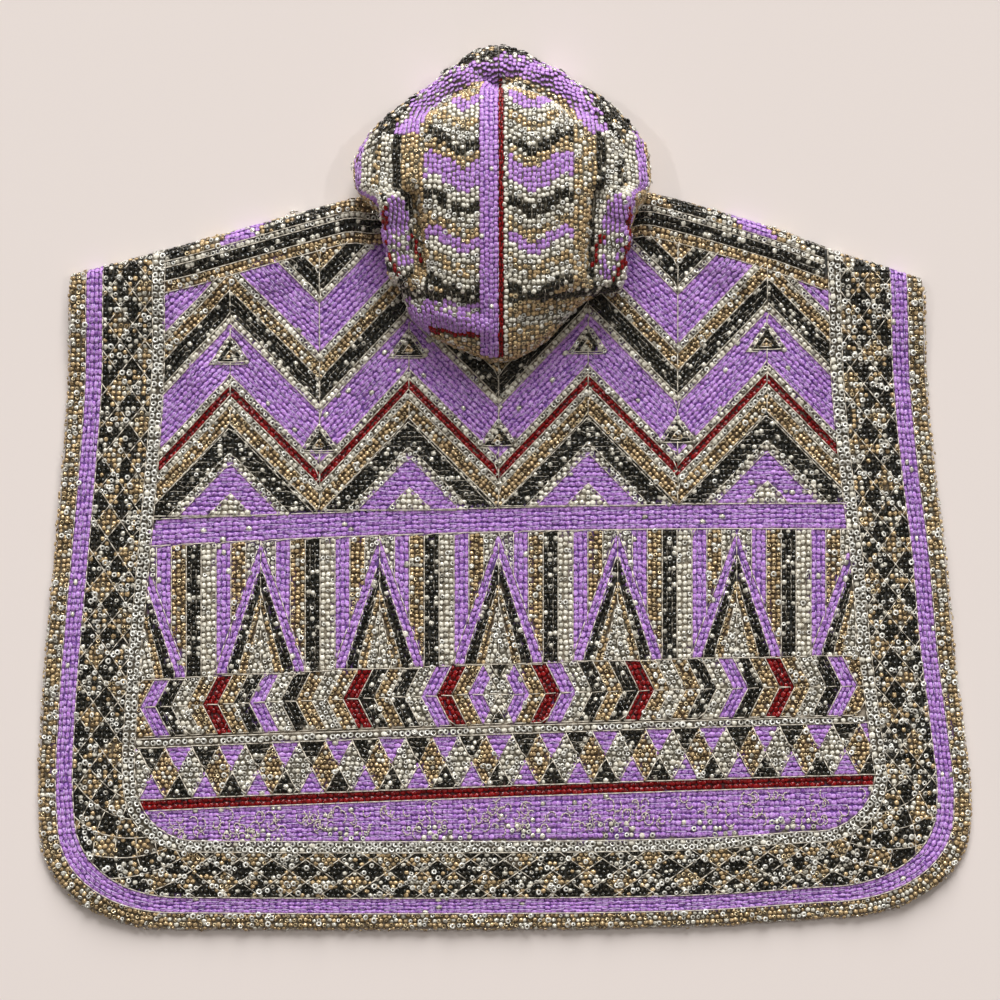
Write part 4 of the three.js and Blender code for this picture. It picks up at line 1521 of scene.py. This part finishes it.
def hood_finish(side, distance, place, point):
    """Finish number of each bead of a half."""
    crown_places, crown = crown_length()
    along = np.interp(place, crown_places, crown)
    zigzag_up = np.abs((distance / crown_half) % 2 - 1) * crown_rise
    band = np.floor((along + zigzag_up) / crown_band_depth).astype(int)
    finish = np.array([finishes.index(name) for name in crown_bands])[band % len(crown_bands)]
    finish = np.where(distance > crown_reach, banded(distance, cheek_bands), finish)
    x, y = point[:, 0] - hood_seam_x, point[:, 1]
    finish = on_ears(side, x, y, finish)
    in_pouch = y < pouch_top + pouch_slant * np.abs(x)
    finish = np.where(in_pouch, banded(y - pouch_slant * np.abs(x), pouch_bands[side]), finish)
    radius = np.hypot(x, y - rim_crease["y"]) - rim_shift * side
    in_rim = (radius > rim_bands[0][0]) & (y > rim_from + rim_slant * np.abs(x))
    finish = np.where(in_rim, banded(radius, rim_bands), finish)
    in_strip = (distance < band_reach[side]) & (y < band_top_y) & (y > band_end_y)
    red_row = (side > 0) & (distance < hood_row_step)
    beside = finishes.index("violet") if side < 0 else finishes.index("ivory")
    return np.where(in_strip, np.where(red_row, finishes.index("red"), beside), finish)


# %% Beads of the hood
# The hood's beads get painted light: their tone is lifted for the light that the low key doesn't give the
# rounded hood
steep_below, hood_painted_light, strip_half_step = 0.62, 0.6, 0.25
least_loose, rim_loose, rim_loose_from, rim_loose_full = 0.15, 1.1, 92, 110
hood_tables = []
for side in (-1, 1):
    point, ahead, normal, length, width, distance, place = hood_bead_rows(side)
    number = hood_finish(side, distance, place, point)
    steep = (normal[:, 2] < steep_below) & (distance > crown_reach)
    number = np.where(steep & (number == finishes.index("red")), finishes.index("violet"), number)
    from_rim_centre = point[:, :2] - (hood_seam_x, rim_crease["y"])
    rim_share = smooth(np.hypot(*from_rim_centre.T), rim_loose_from, rim_loose_full)
    looseness = least_loose + rim_loose * rim_share * (from_rim_centre[:, 1] > 0)
    table = [point, ahead, normal, length, width, number, looseness]
    fine = (number == finishes.index("red")) & (distance < hood_row_step)
    aside = np.cross(normal, ahead)
    hood_tables.append([column[~fine] for column in table])
    for step in (-strip_half_step, strip_half_step):
        row = [column[fine] for column in table]
        row[0] = row[0] + aside[fine] * step * hood_row_step
        row[4] = row[4] / 2
        hood_tables.append(row)
hood_table = [np.concatenate(column) for column in zip(*hood_tables)]
hood_beads = lay_beads("hood", *hood_table, painted_light=hood_painted_light)

# %% [markdown]
# ## Outline threads
# A couched thread runs round each area of the embroidery. It is drawn where two areas of the plan
# meet, as a thin round cord of three sides, laid a little above the cloth.

# %% Threads between the rows of dark and of violet beads
net_height, net_height_spread, net_lengths = 1.4, 0.2, (0.35, 0.7)
# Title, radius, share of the beads that have one, slant and material
row_threads = {"dark": ("net_threads", 0.26, 0.45, 0.2, thread_material),
               "violet": ("lilac_threads", 0.34, 0.5, 0.08, lilac_thread)}


def thread_pattern():
    """A three-sided cord of length 2 along X."""
    bpy.ops.object.select_all(action="DESELECT")
    bpy.ops.mesh.primitive_cylinder_add(vertices=3, radius=1, depth=2, end_fill_type="NGON",
                                        rotation=(0, math.pi / 2, 0))
    piece = bpy.context.active_object
    bpy.ops.object.transform_apply(location=False, rotation=True, scale=False)
    return pattern_of(piece)


def threads_beside(prefix, finish, point, forward, normal, length, width, finish_number):
    """Light threads beside some of the beads of a finish, each slanting a little its own way."""
    title, radius, share, slant, material = row_threads[finish]
    chosen = (finish_number == finishes.index(finish)) & (chance.random(len(point)) < share)
    count = int(chosen.sum())
    beads = (point, forward, normal, length, width)
    point, forward, normal, length, width = [column[chosen] for column in beads]
    aside = np.cross(normal, forward)
    height = net_height + chance.normal(0, net_height_spread, (count, 1))
    place = point + aside * (width / 2)[:, None] + normal * height
    forward = forward + aside * chance.normal(0, slant, (count, 1))
    sizes = np.stack([length * chance.uniform(*net_lengths, count), *np.full((2, count), radius)], axis=1)
    name = prefix + "_" + title
    piece = joined_copies(name, thread_pattern(), place, forward, normal, sizes, chance.random(count))
    piece.data.materials.append(material)
    return piece


back_row_threads = [threads_beside("back", finish, *back_table) for finish in row_threads]
hood_row_threads = [threads_beside("hood", finish, *hood_table[:6]) for finish in row_threads]

# %% Threads of the back
thread_radius, thread_step, thread_lift, run_overlap = 0.65, 11.0, 1.5, 1.06
shortest_run, look_aside, same_place, middle_shade = 1.5, 2, 2.5, 0.5
curl_count, curl_steps, curl_tallness = 190, 6, 1.3
curl_places, curl_depths = (-352, 358), (6, 34)
curl_turns, curl_reaches = (2.4, 4.6), (2.6, 5.2)


def thread_runs():
    """Short straight runs of thread, as pairs of points on the cloth."""
    pairs, owners = [], []
    for outline, owner in outlines:
        length = path_length(outline)
        count = max(1, round(length[-1] / thread_step))
        points = along_path(outline, length, np.linspace(0, length[-1], count + 1))
        pairs.append(np.stack([points[:-1], points[1:]], axis=1))
        owners.append(np.full(len(points) - 1, owner))
    pairs, owners = np.concatenate(pairs), np.concatenate(owners)
    ahead = pairs[:, 1] - pairs[:, 0]
    span = np.hypot(*ahead.T)
    long_enough = span > shortest_run
    pairs, owners, ahead, span = [column[long_enough] for column in (pairs, owners, ahead, span)]
    aside = np.stack([-ahead[:, 1], ahead[:, 0]], axis=1) / span[:, None]
    middle = pairs.mean(axis=1)
    one, other = on_plan(middle + look_aside * aside), on_plan(middle - look_aside * aside)
    differs = (plan[one] != plan[other]) | (ground[one] != ground[other])
    differs &= (plan[one] == owners) | (plan[other] == owners)
    shown = differs & on_cloth(middle) & ~under_hood(middle[:, 0], middle[:, 1])
    pairs, middle = pairs[shown], middle[shown]
    seen = np.unique(np.round(middle / same_place).astype(int), axis=0, return_index=True)[1]
    return pairs[np.sort(seen)]


def thread_piece(name, pairs):
    """Runs of thread as three-sided cords on the back's face."""
    ends = [back_face(pairs[:, end, 0], pairs[:, end, 1]) for end in (0, 1)]
    forward = ends[1] - ends[0]
    half = np.linalg.norm(forward, axis=1) / 2 * run_overlap
    place = (ends[0] + ends[1]) / 2 + (0, 0, thread_lift)
    normal = np.tile((0.0, 0.0, 1.0), (len(place), 1))
    normal -= forward * (np.sum(normal * forward, axis=1) / np.sum(forward**2, axis=1))[:, None]
    radius = np.full(len(place), thread_radius)
    sizes = np.stack([half, radius, radius], axis=1)
    shade = np.full(len(place), middle_shade)
    return joined_copies(name, thread_pattern(), place, forward, normal, sizes, shade)


def curled_runs():
    """Loose curls of thread on the violet band above the hem, each a short open loop."""
    pairs = []
    for _ in range(curl_count):
        x = chance.uniform(*curl_places)
        y = float(line("red low", x)) - chance.uniform(*curl_depths)
        start, turn = chance.uniform(0, 2 * math.pi), chance.choice([-1, 1]) * chance.uniform(*curl_turns)
        angles = start + np.linspace(0, turn, curl_steps + 1)
        reach = chance.uniform(*curl_reaches)
        loop = np.stack([x + reach * np.cos(angles), y + reach * curl_tallness * np.sin(angles)], axis=1)
        pairs.append(np.stack([loop[:-1], loop[1:]], axis=1))
    pairs = np.concatenate(pairs)
    return pairs[plan[on_plan(pairs.mean(axis=1))] == violet_band_area]


all_runs = np.concatenate([thread_runs(), curled_runs()])
back_threads = thread_piece("back_outline_threads", all_runs)
back_threads.data.materials.append(thread_material)

# %% [markdown]
# Last come loose bright sequins. On the real cloth they lie over the rows where thread ends were
# covered, and they break up the even rows of the border.

# %% Scattered sequins
scattered_finishes = {"dusk": 0.06, "mixed": 0.14, "edging": 0.1, "gold": 0.05, "silver": 0.06, "rings": 0.05}
scattered_reach, scattered_sizes, scattered_lift = 3.3, (0.8, 1.1), 2.5
scattered_shift, scattered_lean, scattered_tone, scattered_tone_spread = 1.2, 0.22, 0.8, 0.2


def scattered_sequins(name, point, forward, normal, length, width, finish_number):
    """Sequins laid over a few of the beads, leaning more freely than those of the rows."""
    share = np.array([scattered_finishes.get(finish, 0) for finish in finishes])[finish_number]
    chosen = chance.random(len(point)) < share
    count = int(chosen.sum())
    shift = chance.normal(0, scattered_shift, (count, 3)) * (1, 1, 0)
    place = point[chosen] + normal[chosen] * scattered_lift + shift
    lean = normal[chosen] + chance.normal(0, scattered_lean, (count, 3))
    reach = scattered_reach * chance.uniform(*scattered_sizes, count)
    sizes = np.stack([reach, reach, np.full(count, sequin_height)], axis=1)
    tone = np.clip(chance.normal(scattered_tone, scattered_tone_spread, count), 0, 1)
    piece = joined_copies(name, ring_pattern, place, forward[chosen], lean, sizes, tone)
    piece.data.materials.append(materials["silver_sequin"])
    return piece


back_loose = scattered_sequins("back_loose_sequins", *back_table)
hood_loose = scattered_sequins("hood_loose_sequins", *hood_table[:6])

# %% [markdown]
# ## Handing the pieces to the frame
# Every piece rides on the one body of the garment, and the five cloth pieces stand for the solids.

# %% Riding and replacing
nodes_of = {
    back_cloth: ("back_panel", "beaded_cloth"),
    front_cloth: ("front_panel", "beaded_cloth"),
    hood_left_cloth: ("hood_left", "beaded_hood"),
    hood_right_cloth: ("hood_right", "beaded_hood"),
    seam_strip_cloth: ("hood_seam_band", "violet_beads"),
}
for piece, (node, slot) in nodes_of.items():
    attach(piece, "root")
    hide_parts(node)
on_back = [*back_beads.values(), *edge_beads.values(), back_threads, *back_row_threads, back_loose]
on_hood = [*hood_beads.values(), *hood_row_threads, hood_loose]
for pieces, slot in ((on_back, "beaded_cloth"), (on_hood, "beaded_hood")):
    for piece in pieces:
        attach(piece, "root")

# %% [markdown]
# ## Floor, light and camera
# The garment lies on a plain pale surface and is seen from straight above. A broad light from beyond
# the hood leaves the soft shadow under the hem, and a few small lights make the sequins glint.

# %% Floor
floor_size, floor_drop = 24, 0.0004
bpy.ops.object.select_all(action="DESELECT")
bpy.ops.mesh.primitive_plane_add(size=floor_size, location=(0, 0, -floor_drop))
floor = bpy.context.active_object
floor.name = "floor"
floor_material, floor_shader = new_material("pale_backdrop")
set_sockets(floor_material, floor_shader, {"Base Color": linear("#F0E6E1"), "Roughness": 0.9})
floor.data.materials.append(floor_material)

# %% Lights
key_turn, key_softness, key_power = (math.radians(-63), 0, math.radians(-4)), math.radians(38), 4.0
# Name, place, size and power
lamps = [
    ("overhead", (0, 0, 4.4), 3.0, 10),
    ("glint_left", (-2.0, 0.8, 3.2), 0.14, 13),
    ("glint_right", (2.0, 1.0, 3.2), 0.14, 13),
]


def area_light(name, place, size, power):
    """A square lamp turned to the middle of the garment. The camera doesn't see it."""
    bpy.ops.object.light_add(type="AREA", location=place)
    light = bpy.context.active_object
    light.name = name
    light.data.size = size
    light.data.energy = power
    aim = np.subtract((0, 0, 0), place)
    light.rotation_euler = mathutils.Vector(aim).to_track_quat("-Z", "Y").to_euler()
    light.visible_camera = False


bpy.ops.object.light_add(type="SUN", location=(0, 3, 2), rotation=key_turn)
key = bpy.context.active_object
key.name = "window_key"
key.data.angle = key_softness
key.data.energy = key_power
for lamp in lamps:
    area_light(*lamp)
world = bpy.data.worlds.new("pale_room")
bpy.context.scene.world = world
world.use_nodes = True
background = world.node_tree.nodes["Background"]
background.inputs["Color"].default_value = linear("#F4E6D6")
background.inputs["Strength"].default_value = 0.15

# %% Camera
view_centre = (-0.0046, -0.0115)
camera_height, sensor_width, seen_width, cloth_height = 3.0, 36, 1.0, 0.010
bpy.ops.object.camera_add(location=(*view_centre, camera_height + cloth_height), rotation=(0, 0, 0))
camera = bpy.context.active_object
camera.data.sensor_width = sensor_width
camera.data.lens = sensor_width * camera_height / seen_width
bpy.context.scene.camera = camera
bpy.context.scene.view_settings.view_transform = "Standard"
